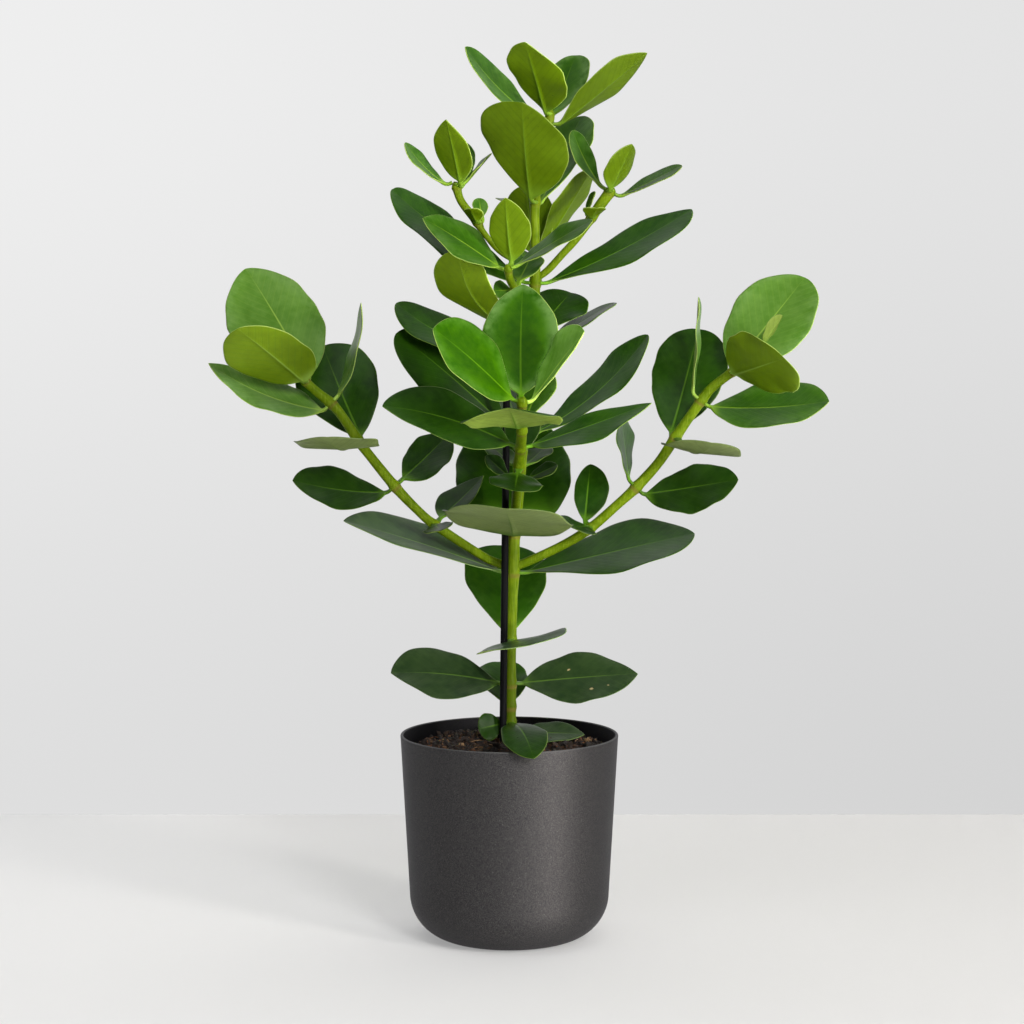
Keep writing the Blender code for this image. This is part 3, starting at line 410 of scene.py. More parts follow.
def tube(points, *values):
    """A closed part for joined_mesh, from points ring by ring and their values."""
    return (tube_faces(*points.shape[:2]), points, *values)


def circle(count):
    """Even angles around a full turn."""
    return np.linspace(0.0, 2.0 * np.pi, count, endpoint=False)


def turned(name, profile, segments):
    """Turn a profile of (radius, height) points about Z. Both ends lie on the axis."""
    profile = np.asarray(profile, dtype=float)
    angles = circle(segments)
    inner = profile[1:-1]
    points = [(0.0, 0.0, profile[0, 1])]
    for radius, height in inner:
        points += [(radius * np.cos(a), radius * np.sin(a), height) for a in angles]
    points.append((0.0, 0.0, profile[-1, 1]))
    faces = shifted(ring_faces(len(inner), segments), 1)
    top = 1 + (len(inner) - 1) * segments
    for index in range(segments):
        after = (index + 1) % segments
        faces.append((0, 1 + after, 1 + index))
        faces.append((len(points) - 1, top + index, top + after))
    return outward(mesh_piece(name, points, faces))


def smooth_route(points, step):
    """A smooth curve through rows of values, sampled about every step mm, and where each row fell."""
    points = np.asarray(points, dtype=float)
    padded = np.vstack([2 * points[0] - points[1], points, 2 * points[-1] - points[-2]])
    rows = []
    marks = []
    for index in range(len(points) - 1):
        before, here, there, after = padded[index:index + 4]
        count = max(2, int(np.ceil(np.linalg.norm((there - here)[:3]) / step)))
        marks.append(len(rows))
        square = 2 * before - 5 * here + 4 * there - after
        cube = 3 * here - before - 3 * there + after
        for t in np.arange(count) / count:
            rows.append(0.5 * (2 * here + (there - before) * t + square * t ** 2 + cube * t ** 3))
    marks.append(len(rows))
    rows.append(points[-1])
    return np.array(rows), marks


def tube_frames(route):
    """Direction and two side vectors at each point of a route, without sudden turns."""
    step = np.diff(route, axis=0)
    step /= np.linalg.norm(step, axis=1)[:, None]
    direction = np.vstack([step[:1], step[:-1] + step[1:], step[-1:]])
    direction /= np.linalg.norm(direction, axis=1)[:, None]
    side = np.cross(direction[0], (0.0, 1.0, 0.0))
    if np.linalg.norm(side) < 0.1:
        side = np.cross(direction[0], (1.0, 0.0, 0.0))
    sides = []
    for along in direction:
        side = side - along * side.dot(along)
        side /= np.linalg.norm(side)
        sides.append(side)
    sides = np.array(sides)
    return direction, sides, np.cross(direction, sides)


# ---------------------------------------------------------------- leaves

def blade_share_width(share, widening, closing):
    """The blade's half width at a share of its length, where its widest is 1."""
    widest = widening / (widening + closing)
    peak = widest ** widening * (1.0 - widest) ** closing
    share = np.clip(share, 0.0, 1.0)
    return share ** widening * (1.0 - share) ** closing / peak


def stem_point(shoot, point):
    """A shoot's point, radius and direction."""
    points = np.array(SHOOTS[shoot], dtype=float)
    direction, _, _ = tube_frames(points[:, :3])
    return points[point, :3], points[point, 3], direction[point]


def leaf_course(name, row, petiole):
    """Even shares of a leaf's length, and the midrib's points, side vectors and upward vectors there."""
    shoot, point, heading, rise, length, _, bend, roll, _, _ = row
    up = np.array((0.0, 0.0, 1.0))
    centre, radius, along = stem_point(shoot, point)
    shares = np.linspace(0.0, 1.0, COURSE_STEPS + 1)
    headings = np.radians(heading + SWINGS.get(name, 0.0) * shares)
    level = np.stack([np.cos(headings), np.sin(headings), 0.0 * shares], axis=-1)
    first = level[0] * np.cos(np.radians(rise)) + up * np.sin(np.radians(rise))
    out = first - along * first.dot(along)
    out /= np.linalg.norm(out)
    start = centre + out * (radius - LEAF_SEAT)
    angles = np.radians(rise + bend * shares)[:, None]
    course = np.cos(angles) * level + np.sin(angles) * up
    blend = np.clip(shares * length / petiole, 0.0, 1.0)
    blend = (blend * blend * (3.0 - 2.0 * blend))[:, None]
    course = out * (1.0 - blend) + course * blend
    course /= np.linalg.norm(course, axis=1)[:, None]
    steps = 0.5 * (course[1:] + course[:-1]) * length / COURSE_STEPS
    midrib = start + np.vstack([np.zeros(3), np.cumsum(steps, axis=0)])
    flat_side = np.stack([-np.sin(headings), np.cos(headings), 0.0 * shares], axis=-1)
    sides = flat_side - course * np.sum(course * flat_side, axis=1)[:, None]
    sides /= np.linalg.norm(sides, axis=1)[:, None]
    tops = np.cross(course, sides)
    turn = np.radians(roll + TWISTS.get(name, 0.0) * (shares - 0.5)) * blend[:, 0]
    across = np.cos(turn)[:, None] * sides + np.sin(turn)[:, None] * tops
    over = np.cos(turn)[:, None] * tops - np.sin(turn)[:, None] * sides
    return shares, midrib, across, over


def sampled(shares, wanted, values):
    """Vectors of a leaf's course at other shares."""
    return np.column_stack([np.interp(wanted, shares, values[:, axis]) for axis in range(3)])


def edge_columns(count):
    """Places from one edge to the other, -1 to 1, closer together at the midrib and at the edges."""
    t = np.arange(count + 1) / count
    half = EDGE_CROWDING * t + (1.0 - EDGE_CROWDING) * (3.0 * t ** 2 - 2.0 * t ** 3)
    return np.concatenate([-half[:0:-1], half])


def leaf_surface(name, row):
    """A leaf's points, ring by ring around its section, and the two sets of values its material reads:
    (mm from the midrib, mm from the base, face) and (mm from the edge, share of the length, blade).
    """
    _, _, _, _, length, width, _, _, cup, (left, right) = row
    petiole = LONG_PETIOLES.get(name, min(PETIOLE_LENGTH, PETIOLE_SHARE * length))
    stations, columns = SMALL_MESH if length < SMALL_LEAF else LARGE_MESH
    t = np.linspace(0.0, 1.0, stations)
    wanted = t - END_CROWDING * np.sin(2.0 * np.pi * t) / (2.0 * np.pi)
    shares, midrib, across, over = leaf_course(name, row, petiole)
    midrib, across, over = (sampled(shares, wanted, v) for v in (midrib, across, over))
    reach = wanted * length
    blade_share = (reach - BLADE_START * petiole) / (length - BLADE_START * petiole)
    thinning = np.clip(reach / (NECK_END * petiole), 0.0, 1.0)
    flare = PETIOLE_FLARE * np.exp(-(reach / FLARE_LENGTH) ** 2)
    stalk = np.where(blade_share < 0.5, PETIOLE_HALF_WIDTH + flare, 0.0)
    own = np.random.default_rng(list(name.encode()))
    bow = own.uniform(-1.0, 1.0)
    wave_turns = own.uniform(*WAVE_TURNS)
    wave_starts = own.uniform(0.0, 2.0 * np.pi, 2)
    tip_closing = np.sqrt(np.clip(1.0 - wanted ** TIP_SHARPNESS, 0.0, 1.0))

    u = edge_columns(columns)
    halves = []
    for (widening, closing, part), start in zip((right, left), wave_starts):
        blade = 0.5 * width * part * blade_share_width(blade_share, widening, closing)
        scallop = 1.0 + SCALLOP * np.sin(2.0 * np.pi * SCALLOP_TURNS * wave_turns * wanted + start)
        halves.append(np.maximum(blade * scallop, stalk))
    half = np.where(u[None, :] < 0.0, halves[0][:, None], halves[1][:, None])
    x = half * u[None, :]
    edge = np.abs(u)[None, :]
    roundness = ROUND_SECTION + (FLAT_SECTION - ROUND_SECTION) * thinning[:, None]
    body = PETIOLE_THICKNESS + (BLADE_THICKNESS - PETIOLE_THICKNESS) * thinning[:, None]
    thick = body * np.sqrt(np.clip(1.0 - edge ** roundness, 0.0, 1.0)) * tip_closing[:, None]
    side_index = (u > 0.0).astype(int)
    phase = 2.0 * np.pi * wave_turns * wanted[:, None] + wave_starts[side_index][None, :]
    wave = WAVE * half * edge ** 2 * np.sin(phase) * thinning[:, None]
    lift = cup * half * edge ** CUP_POWER * thinning[:, None] + wave
    fade = (1.0 - wanted)[:, None]
    keel = KEEL_DEPTH * fade * np.exp(-(x / (KEEL_WIDTH * (KEEL_TIP + fade))) ** 2) * thinning[:, None]
    groove = GROOVE_DEPTH * fade * np.exp(-(x / GROOVE_WIDTH) ** 2) * thinning[:, None]
    sickle = SICKLE * bow * length * (wanted * (1.0 - wanted) * 4.0)[:, None]
    base = midrib[:, None, :] + across[:, None, :] * (x + sickle)[:, :, None]
    upper = base + over[:, None, :] * (lift + 0.5 * thick - groove)[:, :, None]
    lower = base + over[:, None, :] * (lift - 0.5 * thick - keel * (edge < 1.0))[:, :, None]

    def ring(top, bottom):
        """A quantity around the section: over the upper face and back under the lower one."""
        return np.concatenate([top, bottom[:, -2:0:-1]], axis=1)

    level = np.ones_like(x)
    face = np.where(edge < 1.0, level, 0.0)
    along = reach[:, None] * level
    place = np.stack([ring(x, x), ring(along, along), ring(face, -face)], axis=-1)
    parts = (half - np.abs(x), wanted[:, None] * level, thinning[:, None] * level)
    edges = np.stack([ring(part, part) for part in parts], axis=-1)
    return ring(upper, lower), place, edges


def leaf_mesh(name, rows):
    """One mesh of one or more leaves, from pairs of a leaf's own name and its row."""
    return joined_mesh(name, [tube(*leaf_surface(key, row)) for key, row in rows], ("leaf_mm", "leaf_edge"))


# ---------------------------------------------------------------- stems

def leaf_points(shoot):
    """Numbers of the shoot's points that carry leaves."""
    rows = list(LEAVES.values()) + [row for _, row in SMALL_LEAVES.get(shoot, ())]
    return sorted({row[1] for row in rows if row[0] == shoot})


def stem_surface(shoot):
    """A shoot's skin: points ring by ring, and (way up the shoot in mm, scar, height in mm) at each."""
    route, marks = smooth_route(SHOOTS[shoot], STEM_STEP)
    centre, radius = route[:, :3], route[:, 3].copy()
    travelled = np.concatenate([[0.0], np.cumsum(np.linalg.norm(np.diff(centre, axis=0), axis=1))])
    scar = np.zeros(len(route))
    for point in leaf_points(shoot):
        away = travelled - travelled[marks[point]]
        radius += NODE_SWELLING * np.exp(-(away / NODE_LENGTH) ** 2)
        scar = np.maximum(scar, np.exp(-((away + SCAR_DROP) / SCAR_LENGTH) ** 2))
    end = travelled[-1] - travelled
    radius *= np.sqrt(np.clip(end / (BLUNTNESS * route[-1, 3]), 0.02, 1.0))
    _, side, other = tube_frames(centre)
    angles = circle(STEM_SIDES)
    ridge = 1.0 + sum(size * np.sin(count * angles + start) for count, size, start in RIDGES)
    cosines, sines = np.cos(angles)[:, None], np.sin(angles)[:, None]
    spokes = side[:, None, :] * cosines + other[:, None, :] * sines
    points = centre[:, None, :] + spokes * (radius[:, None] * ridge)[:, :, None]
    skin = np.stack([travelled, scar, centre[:, 2]], axis=-1)
    skin = np.repeat(skin[:, None, :], STEM_SIDES, axis=1)
    return points, skin


def stem_mesh(name, shoots):
    """One mesh of several shoots."""
    return joined_mesh(name, [tube(*stem_surface(shoot)) for shoot in shoots], ("stem_mm",))


# ---------------------------------------------------------------- pot, soil and stake

def wall_radius(height):
    """Outer radius of the pot's straight wall at a height."""
    low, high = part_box("pot")
    top_radius = 0.5 * (high[0] - low[0]) / MM
    slope = (top_radius - POT_WALL_RADIUS_AT_FLOOR) / (high[2] / MM)
    return POT_WALL_RADIUS_AT_FLOOR + slope * height


def arc(centre, radius, start, end, steps):
    """Points of a profile's arc, which has a radius for each direction. Angles in degrees."""
    angles = np.radians(np.linspace(start, end, steps))
    return [(centre[0] + radius[0] * np.cos(a), centre[1] + radius[1] * np.sin(a)) for a in angles]


def straight_wall(start, end, thickness):
    """Points up or down the pot's straight wall, thickness inside its outer face."""
    heights = [start + share * (end - start) for share in np.linspace(0.1, 1.0, 10)]
    return [(wall_radius(height) - thickness, height) for height in heights]


def pot_profile():
    """The pot's section, from the axis under the foot, up the outside, over the lip and down the inside."""
    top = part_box("pot")[1][2] / MM
    lip = POT_LIP_ROUND
    shoulder = top - 3.0 * lip
    edge = (POT_FOOT_RADIUS, POT_EDGE_RADIUS)
    reach = wall_radius(POT_EDGE_RADIUS) - POT_FOOT_RADIUS
    return (
        [(0.0, 0.0)]
        + arc(edge, (reach, POT_EDGE_RADIUS), -90, 0, 20)
        + straight_wall(POT_EDGE_RADIUS, shoulder, 0.0)
        + arc((wall_radius(top) - lip, top - lip), (lip, lip), 0, 90, 6)
        + arc((wall_radius(top) - POT_WALL + lip, top - lip), (lip, lip), 90, 180, 6)
        + straight_wall(shoulder, POT_EDGE_RADIUS, POT_WALL)
        + arc(edge, (reach - POT_WALL, POT_EDGE_RADIUS - POT_FLOOR), 0, -90, 12)
        + [(0.0, POT_FLOOR)]
    )


def soil_height(radius):
    """Height of the soil's smooth surface at a distance from the axis."""
    return np.interp(radius, *zip(*SOIL_PROFILE))


def rough_height(x, y):
    """Lumps of the soil's surface, a sum of seeded waves."""
    waves = np.random.default_rng(3)
    total = np.zeros_like(x)
    for size in LUMP_SIZES:
        for _ in range(WAVES_PER_SIZE):
            angle, start = waves.uniform(0.0, 2.0 * np.pi, 2)
            way = x * np.cos(angle) + y * np.sin(angle)
            total += LUMP_HEIGHT * size * np.sin(2.0 * np.pi * way / size + start)
    return total


def build_soil_bed():
    """The lumpy surface between the crumbs, closed below."""
    radii = np.linspace(0.0, SOIL_EDGE_RADIUS, SOIL_RINGS + 1)[1:]
    angles = circle(SOIL_SEGMENTS)
    radius, angle = np.meshgrid(radii, angles, indexing="ij")
    x, y = radius * np.cos(angle), radius * np.sin(angle)
    calm = np.clip((SOIL_EDGE_RADIUS - radius) / CALM_WIDTH, 0.0, 1.0)
    z = soil_height(radius) + rough_height(x, y) * calm - SOIL_SINK
    points = [(0.0, 0.0, SOIL_CROWN - SOIL_SINK)] + np.stack([x, y, z], axis=-1).reshape(-1, 3).tolist()
    below = len(points)
    points += [(*place, SOIL_EDGE - SOIL_DEPTH) for place in zip(x[-1], y[-1])]
    faces = shifted(ring_faces(SOIL_RINGS + 1, SOIL_SEGMENTS), 1)
    faces += [(0, 1 + i, 1 + (i + 1) % SOIL_SEGMENTS) for i in range(SOIL_SEGMENTS)]
    faces.append(tuple(range(below, len(points))))
    return outward(mesh_piece("soil_bed", points, faces))


def icosahedron():
    """An icosahedron's twelve corners, all at radius 1, and its twenty triangles."""
    golden = 0.5 * (1.0 + 5.0 ** 0.5)
    corners = []
    for a in (-1.0, 1.0):
        for b in (-golden, golden):
            corners += [(0.0, a, b), (a, b, 0.0), (b, 0.0, a)]
    corners = np.array(corners)
    faces = []
    for i, j, k in itertools.combinations(range(len(corners)), 3):
        sides = [np.linalg.norm(corners[p] - corners[q]) for p, q in ((i, j), (j, k), (k, i))]
        if max(sides) < 2.01:       # neighbours are 2 apart here
            out = np.cross(corners[j] - corners[i], corners[k] - corners[i]).dot(corners[i])
            faces.append((i, j, k) if out > 0.0 else (i, k, j))
    return corners / np.linalg.norm((1.0, golden)), faces


def crumb_shape(corners, size, stretch):
    """A small angular lump: an icosahedron of radius 1, distorted, turned and stretched along one side."""
    shape = corners * rng.uniform(*CRUMB_ANGULAR, (len(corners), 1))
    shape *= np.array((stretch, 1.0, rng.uniform(*CRUMB_HEIGHT))) * size
    turn, _ = np.linalg.qr(rng.normal(size=(3, 3)))
    return shape @ turn


def soil_place(radius, angle):
    """A place on the lumpy soil."""
    x, y = radius * np.cos(angle), radius * np.sin(angle)
    return x, y, soil_height(radius) + float(rough_height(np.array(x), np.array(y)))


def crumbs():
    """Angular crumbs over the soil, as parts for joined_mesh. Each keeps its colour, warmth and radius."""
    corners, faces = icosahedron()
    for _ in range(CRUMB_COUNT):
        radius = CRUMB_REACH * np.sqrt(rng.uniform(0.0, 1.0))
        x, y, z = soil_place(radius, rng.uniform(0.0, 2.0 * np.pi))
        size = CRUMB_SIZE[0] + CRUMB_SIZE[1] * rng.uniform() ** 3
        shape = crumb_shape(corners, size, rng.uniform(*CRUMB_STRETCH))
        near_stem = np.hypot(x - SHOOTS["main"][0][0], y) < STEM_ROOM
        if not near_stem and radius + 2.0 * size <= CRUMB_LIMIT:
            tint = (rng.uniform(), rng.uniform(), size)
            yield faces, shape + (x, y, z - CRUMB_SINK), np.tile(tint, (len(shape), 1))


def fibres():
    """Thin arched fibres among the crumbs, as parts for joined_mesh that keep the same as crumbs do."""
    t = np.linspace(-0.5, 0.5, FIBRE_RINGS)
    arch = 1.0 - 4.0 * t ** 2
    for _ in range(FIBRE_COUNT):
        radius = FIBRE_REACH * np.sqrt(rng.uniform(0.0, 1.0))
        angle, heading = rng.uniform(0.0, 2.0 * np.pi, 2)
        x, y, z = soil_place(radius, angle)
        length = rng.uniform(*FIBRE_LENGTH)
        bow = rng.uniform(-FIBRE_BOW, FIBRE_BOW) * arch
        route = np.column_stack([x + length * t * np.cos(heading) - bow * np.sin(heading),
                                 y + length * t * np.sin(heading) + bow * np.cos(heading),
                                 z + rng.uniform(*FIBRE_RISE) * arch + FIBRE_LIFT])
        _, side, other = tube_frames(route)
        thickness = rng.uniform(*FIBRE_RADIUS)
        spokes = [route + thickness * (side * np.cos(a) + other * np.sin(a)) for a in circle(FIBRE_SIDES)]
        tint = (rng.uniform(*FIBRE_COLOUR), rng.uniform(), thickness)
        yield tube(np.stack(spokes, axis=1), np.tile(tint, (FIBRE_RINGS * FIBRE_SIDES, 1)))


def build_crumbs():
    """Bark and coir crumbs that lie over the soil, and thin fibres among them."""
    piece = joined_mesh("soil_crumbs", [*crumbs(), *fibres()], ("crumb",))
    piece.data.shade_flat()
    return piece


def build_stake():
    """The stake: a rod with a rounded top, from deep in the soil to the CAD stake's top."""
    low, high = (np.array(corner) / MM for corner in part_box("stake"))
    radius = 0.5 * (high[1] - low[1])
    foot = np.array((low[0] + radius, 0.5 * (low[1] + high[1]), low[2]))
    top = np.array((high[0] - radius, foot[1], high[2]))
    angles = circle(STAKE_SIDES)
    profile = [(radius, share) for share in np.linspace(0.0, STAKE_DOME, STAKE_RINGS)]
    for a in np.radians((20, 40, 60, 80)):
        profile.append((radius * np.cos(a), STAKE_DOME + (1.0 - STAKE_DOME) * np.sin(a)))
    points = []
    for ring_radius, share in profile:
        centre = foot + (top - foot) * share
        points += [centre + ring_radius * np.array((np.cos(a), np.sin(a), 0.0)) for a in angles]
    return outward(mesh_piece("stake_rod", points, tube_faces(len(profile), len(angles))))


# ---------------------------------------------------------------- materials

class Graph:
    """A material's node tree, built by short calls."""

    def __init__(self, name):
        self.material = bpy.data.materials.new(name)
        self.material.use_nodes = True
        self.nodes = self.material.node_tree.nodes
        self.links = self.material.node_tree.links
        self.shader = self.nodes["Principled BSDF"]

    def put(self, socket, value):
        """Link an output to a socket, or set a plain value on it."""
        if isinstance(value, bpy.types.NodeSocket):
            self.links.new(value, socket)
        elif hasattr(socket.default_value, "__len__") and len(socket.default_value) == 4:
            socket.default_value = (*value, 1.0)
        else:
            socket.default_value = value

    def node(self, kind, inputs=None, **settings):
        """A node with its settings, and its inputs by name or number."""
        made = self.nodes.new(kind)
        for key, value in settings.items():
            setattr(made, key, value)
        for key, value in (inputs or {}).items():
            self.put(made.inputs[key], value)
        return made

    def math(self, operation, first, second=0.0, third=0.0):
        """The result of a math node."""
        made = self.node("ShaderNodeMath", operation=operation)
        for socket, value in zip(made.inputs, (first, second, third)):
            self.put(socket, value)
        return made.outputs[0]

    def times(self, first, second):
        """The product of two values."""
        return self.math("MULTIPLY", first, second)

    def scaled(self, value, factor, plus):
        """A value times a factor, plus another."""
        return self.math("MULTIPLY_ADD", value, factor, plus)

    def distance(self, x, y):
        """How far the point (x, y) lies from (0, 0)."""
        return self.math("SQRT", self.math("ADD", self.times(x, x), self.times(y, y)))

    def fade(self, value, low, high, low_out=0.0, high_out=1.0):
        """A smooth step of a value from low to high."""
        inputs = {"Value": value, "From Min": low, "From Max": high, "To Min": low_out, "To Max": high_out}
        return self.node("ShaderNodeMapRange", inputs, interpolation_type="SMOOTHSTEP").outputs["Result"]

    def mix(self, share, first, second, blend="MIX"):
        """Colours mixed by a share."""
        made = self.node("ShaderNodeMix", data_type="RGBA", blend_type=blend)
        self.put(made.inputs["Factor"], share)
        colours = [socket for socket in made.inputs if socket.type == "RGBA"]
        self.put(colours[0], first)
        self.put(colours[1], second)
        return [socket for socket in made.outputs if socket.type == "RGBA"][0]

    def blend(self, value, low, high, first, second):
        """The first colour where a value is low, the second where it is high."""
        return self.mix(self.fade(value, low, high), first, second)

    def place(self):
        """The object's own coordinates, in metres."""
        return self.node("ShaderNodeTexCoord").outputs["Object"]

    def noise(self, scale, detail=3.0, flattening=1.0):
        """Noise over the object, in waves per metre, drawn out along Z where the flattening is small."""
        where = self.place()
        if flattening != 1.0:
            stretch = {"Vector": where, "Scale": (1.0, 1.0, flattening)}
            where = self.node("ShaderNodeMapping", stretch).outputs[0]
        inputs = {"Scale": scale, "Detail": detail, "Vector": where}
        return self.node("ShaderNodeTexNoise", inputs).outputs["Fac"]

    def attribute(self, name):
        """The three numbers that a mesh keeps at each point."""
        read = self.node("ShaderNodeAttribute", attribute_name=name)
        return self.node("ShaderNodeSeparateXYZ", {0: read.outputs["Vector"]}).outputs

    def bump(self, height, distance):
        """Small bumps on the shader, distance high in metres where the height is 1."""
        inputs = {"Height": height, "Distance": distance, "Strength": 1.0}
        self.put(self.shader.inputs["Normal"], self.node("ShaderNodeBump", inputs).outputs["Normal"])

    def finish(self, colour, roughness, **constants):
        """Set the shader's colour and roughness, and constants by socket name."""
        self.put(self.shader.inputs["Base Color"], colour)
        self.put(self.shader.inputs["Roughness"], roughness)
        for name, value in constants.items():
            self.shader.inputs[name.replace("_", " ")].default_value = value
        return self.material


# Leaf colours, linear RGB: deep and light places of the upper face, the lower face, the midrib, the edge
# and the pale painted sheen inside it. Veins, painted sheen and gloss say how strongly each of those shows.
LEAF_LOOKS = {
    "old": {
        "deep": (0.0085, 0.039, 0.001), "light": (0.019, 0.066, 0.0018), "under": (0.195, 0.28, 0.042),
        "rib": (0.085, 0.2, 0.01), "edge": (0.17, 0.26, 0.05), "veins": 0.025, "gloss": 0.13,
        "painted_sheen": 0.1, "pale": (0.06, 0.105, 0.04),
    },
    # Painted sheen: greyer colours that stand for a grey sheen over the green
    "grey_sheen": {
        "deep": (0.012, 0.03, 0.009), "light": (0.025, 0.05, 0.015), "under": (0.15, 0.2, 0.06),
        "rib": (0.075, 0.15, 0.02), "edge": (0.12, 0.18, 0.06), "veins": 0.04, "gloss": 0.1,
        "painted_sheen": 0.1, "pale": (0.08, 0.11, 0.06),
    },
    "ripe": {
        "deep": (0.024, 0.095, 0.002), "light": (0.048, 0.145, 0.006), "under": (0.12, 0.205, 0.002),
        "rib": (0.18, 0.33, 0.02), "edge": (0.42, 0.56, 0.12), "veins": 0.06, "gloss": 0.1,
        "painted_sheen": 0.3, "pale": (0.13, 0.24, 0.06),
    },
    "young": {
        "deep": (0.017, 0.078, 0.0002), "light": (0.042, 0.135, 0.0005), "under": (0.125, 0.215, 0.002),
        "rib": (0.08, 0.2, 0.004), "edge": (0.4, 0.54, 0.13), "veins": 0.035, "gloss": 0.09,
        "painted_sheen": 0.55, "pale": (0.17, 0.29, 0.09),
    },
    "fresh": {
        "deep": (0.06, 0.16, 0.012), "light": (0.105, 0.22, 0.032), "under": (0.12, 0.195, 0.004),
        "rib": (0.23, 0.36, 0.05), "edge": (0.4, 0.52, 0.13), "veins": 0.11, "gloss": 0.12,
        "painted_sheen": 0.25, "pale": (0.18, 0.3, 0.11),
    },
}
LOOKS_OF = {             # each other node has the look "old"
    "grey_sheen": (
        "leaf_second_front", "leaf_low_left", "leaf_low_right", "leaf_great_left", "leaf_foot_right",
        "leaf_great_front", "leaf_left_third_front", "leaf_right_third_front",
    ),
    "ripe": (
        "leaf_upper_front", "leaf_upper_back", "leaf_crown_left", "leaf_crown_right", "leaf_tip_front",
        "leaf_front_behind", "leaf_right_fourth_out", "shoot_upper_left", "shoot_upper_right",
        "shoot_upper_front", "shoot_upper_back",
    ),
    "young": (
        "leaf_tip_back", "leaf_rosette_left", "leaf_rosette_back",
    ),
    "fresh": (
        "leaf_inner_front", "leaf_rosette_right", "leaf_left_tip_back", "leaf_left_tip_front",
        "leaf_left_fourth_out", "leaf_left_fourth_in", "leaf_right_tip_back", "leaf_right_tip_front",
        "leaf_right_fourth_in",
    ),
}
# Partly painted light: several tones above 1 lighten leaves that lie in shade or that show a grey sheen
TONES = {                # nodes whose leaves are darker or lighter than their look
    "leaf_crown_right": 0.55, "leaf_rosette_right": 1.8, "leaf_rosette_back": 0.9,
    "leaf_second_back": 1.3, "leaf_second_front": 1.9, "leaf_right_fourth_out": 0.72,
    "leaf_inner_front": 1.45, "leaf_foot_front": 0.62, "leaf_foot_left": 0.75,
    "leaf_left_second_out": 0.62, "leaf_right_second_out": 0.62, "leaf_great_left": 1.9,
    "leaf_rosette_left": 1.12, "leaf_upper_front": 0.66, "leaf_middle_right": 1.5,
    "leaf_front_right": 1.5, "leaf_wing_right": 1.4, "leaf_wing_left": 1.2, "shoot_upper_right": 0.65,
    "shoot_upper_left": 0.95, "shoot_upper_back": 0.8, "shoot_upper_front": 0.85, "stems": 0.72,
    "leaf_right_third_front": 0.78, "leaf_left_third_front": 0.92,
}
PAINTED_SHEENS = {"leaf_rosette_left": 0.12, "leaf_rosette_right": 0.10}    # leaves with less painted sheen than their look
GLOSSES = {              # leaves that shine less than their look
    "leaf_middle_right": 0.04, "leaf_front_right": 0.04, "leaf_wing_right": 0.05, "leaf_foot_front": 0.04,
    "leaf_wing_left": 0.05, "leaf_inner_left": 0.05, "leaf_rosette_left": 0.04, "leaf_rosette_back": 0.05,
    "leaf_rosette_right": 0.05, "leaf_foot_left": 0.05,
}
MOTTLED = (0.3, 0.7)    # noise between which a surface goes from its deep colour to its light one
VEIN_SLOPE = 1.15       # mm forward for each mm away from the midrib
VEIN_WOBBLE = 1.6       # mm
VEINS = ((2.3, 4.0, 0.45), (8.05, 8.0, 1.0))   # mm apart, sharpness and strength of fine and main veins
VEINS_UNDER = 0.17      # how strongly the veins show on the lower face
RIB_WIDTH = (1.2, 0.35) # mm, at the leaf's base and tip
EDGE_LINE = 0.75        # mm
PAINTED_SHEEN_REACH = 13.0       # mm of painted sheen, a paler blade inside the edge
# Blemishes by leaf: (mm across, mm along, radius in mm)
SPOTS = {"leaf_low_right": ((-16.0, 62.0, 2.8), (10.0, 44.0, 1.8), (-13.0, 76.0, 1.6))}
SPOT_COLOUR = (0.42, 0.33, 0.17)
SPECKLED = ("leaf_great_front", "leaf_upper_front", "leaf_tip_front")
SPECKLE_COLOUR = (0.03, 0.035, 0.008)


def look_of(node):
    """The look of a node's leaves."""
    return next((look for look, nodes in LOOKS_OF.items() if node in nodes), "old")


def each_times(values, factor):
    """Each value times a factor, such as a colour made darker."""
    return tuple(factor * value for value in values)


def leaf_veins(graph, away, along):
    """Lines that slant forward from the midrib: 1 on a vein, 0 between veins."""
    slant = graph.scaled(away, -VEIN_SLOPE, along)
    wobble = graph.scaled(graph.noise(150.0, 2.0), VEIN_WOBBLE, slant)
    veins = 0.0
    for spacing, sharpness, strength in VEINS:
        wave = graph.math("SINE", graph.times(wobble, 2.0 * np.pi / spacing))
        line = graph.math("POWER", graph.scaled(wave, 0.5, 0.5), sharpness)
        veins = graph.math("MAXIMUM", veins, graph.times(line, strength))
    return veins


def leaf_blemishes(graph, name, colour, across, along, fine):
    """A colour with a leaf's dark speckles and pale spots over it."""
    if name in SPECKLED:
        cells = graph.node("ShaderNodeTexVoronoi", {"Vector": graph.place(), "Scale": 170.0})
        dots = graph.fade(cells.outputs["Distance"], 0.05, 0.12, 1.0, 0.0)
        dark = graph.times(dots, graph.fade(graph.noise(60.0, 1.0), 0.50, 0.62))
        colour = graph.mix(graph.times(dark, 0.75), colour, SPECKLE_COLOUR)
    for x, y, radius in SPOTS.get(name, ()):
        gap = graph.distance(graph.math("SUBTRACT", across, x), graph.math("SUBTRACT", along, y))
        gap = graph.scaled(fine, radius * 1.5, gap)
        colour = graph.mix(graph.fade(gap, radius * 0.9, radius * 1.5, 1.0, 0.0), colour, SPOT_COLOUR)
    return colour


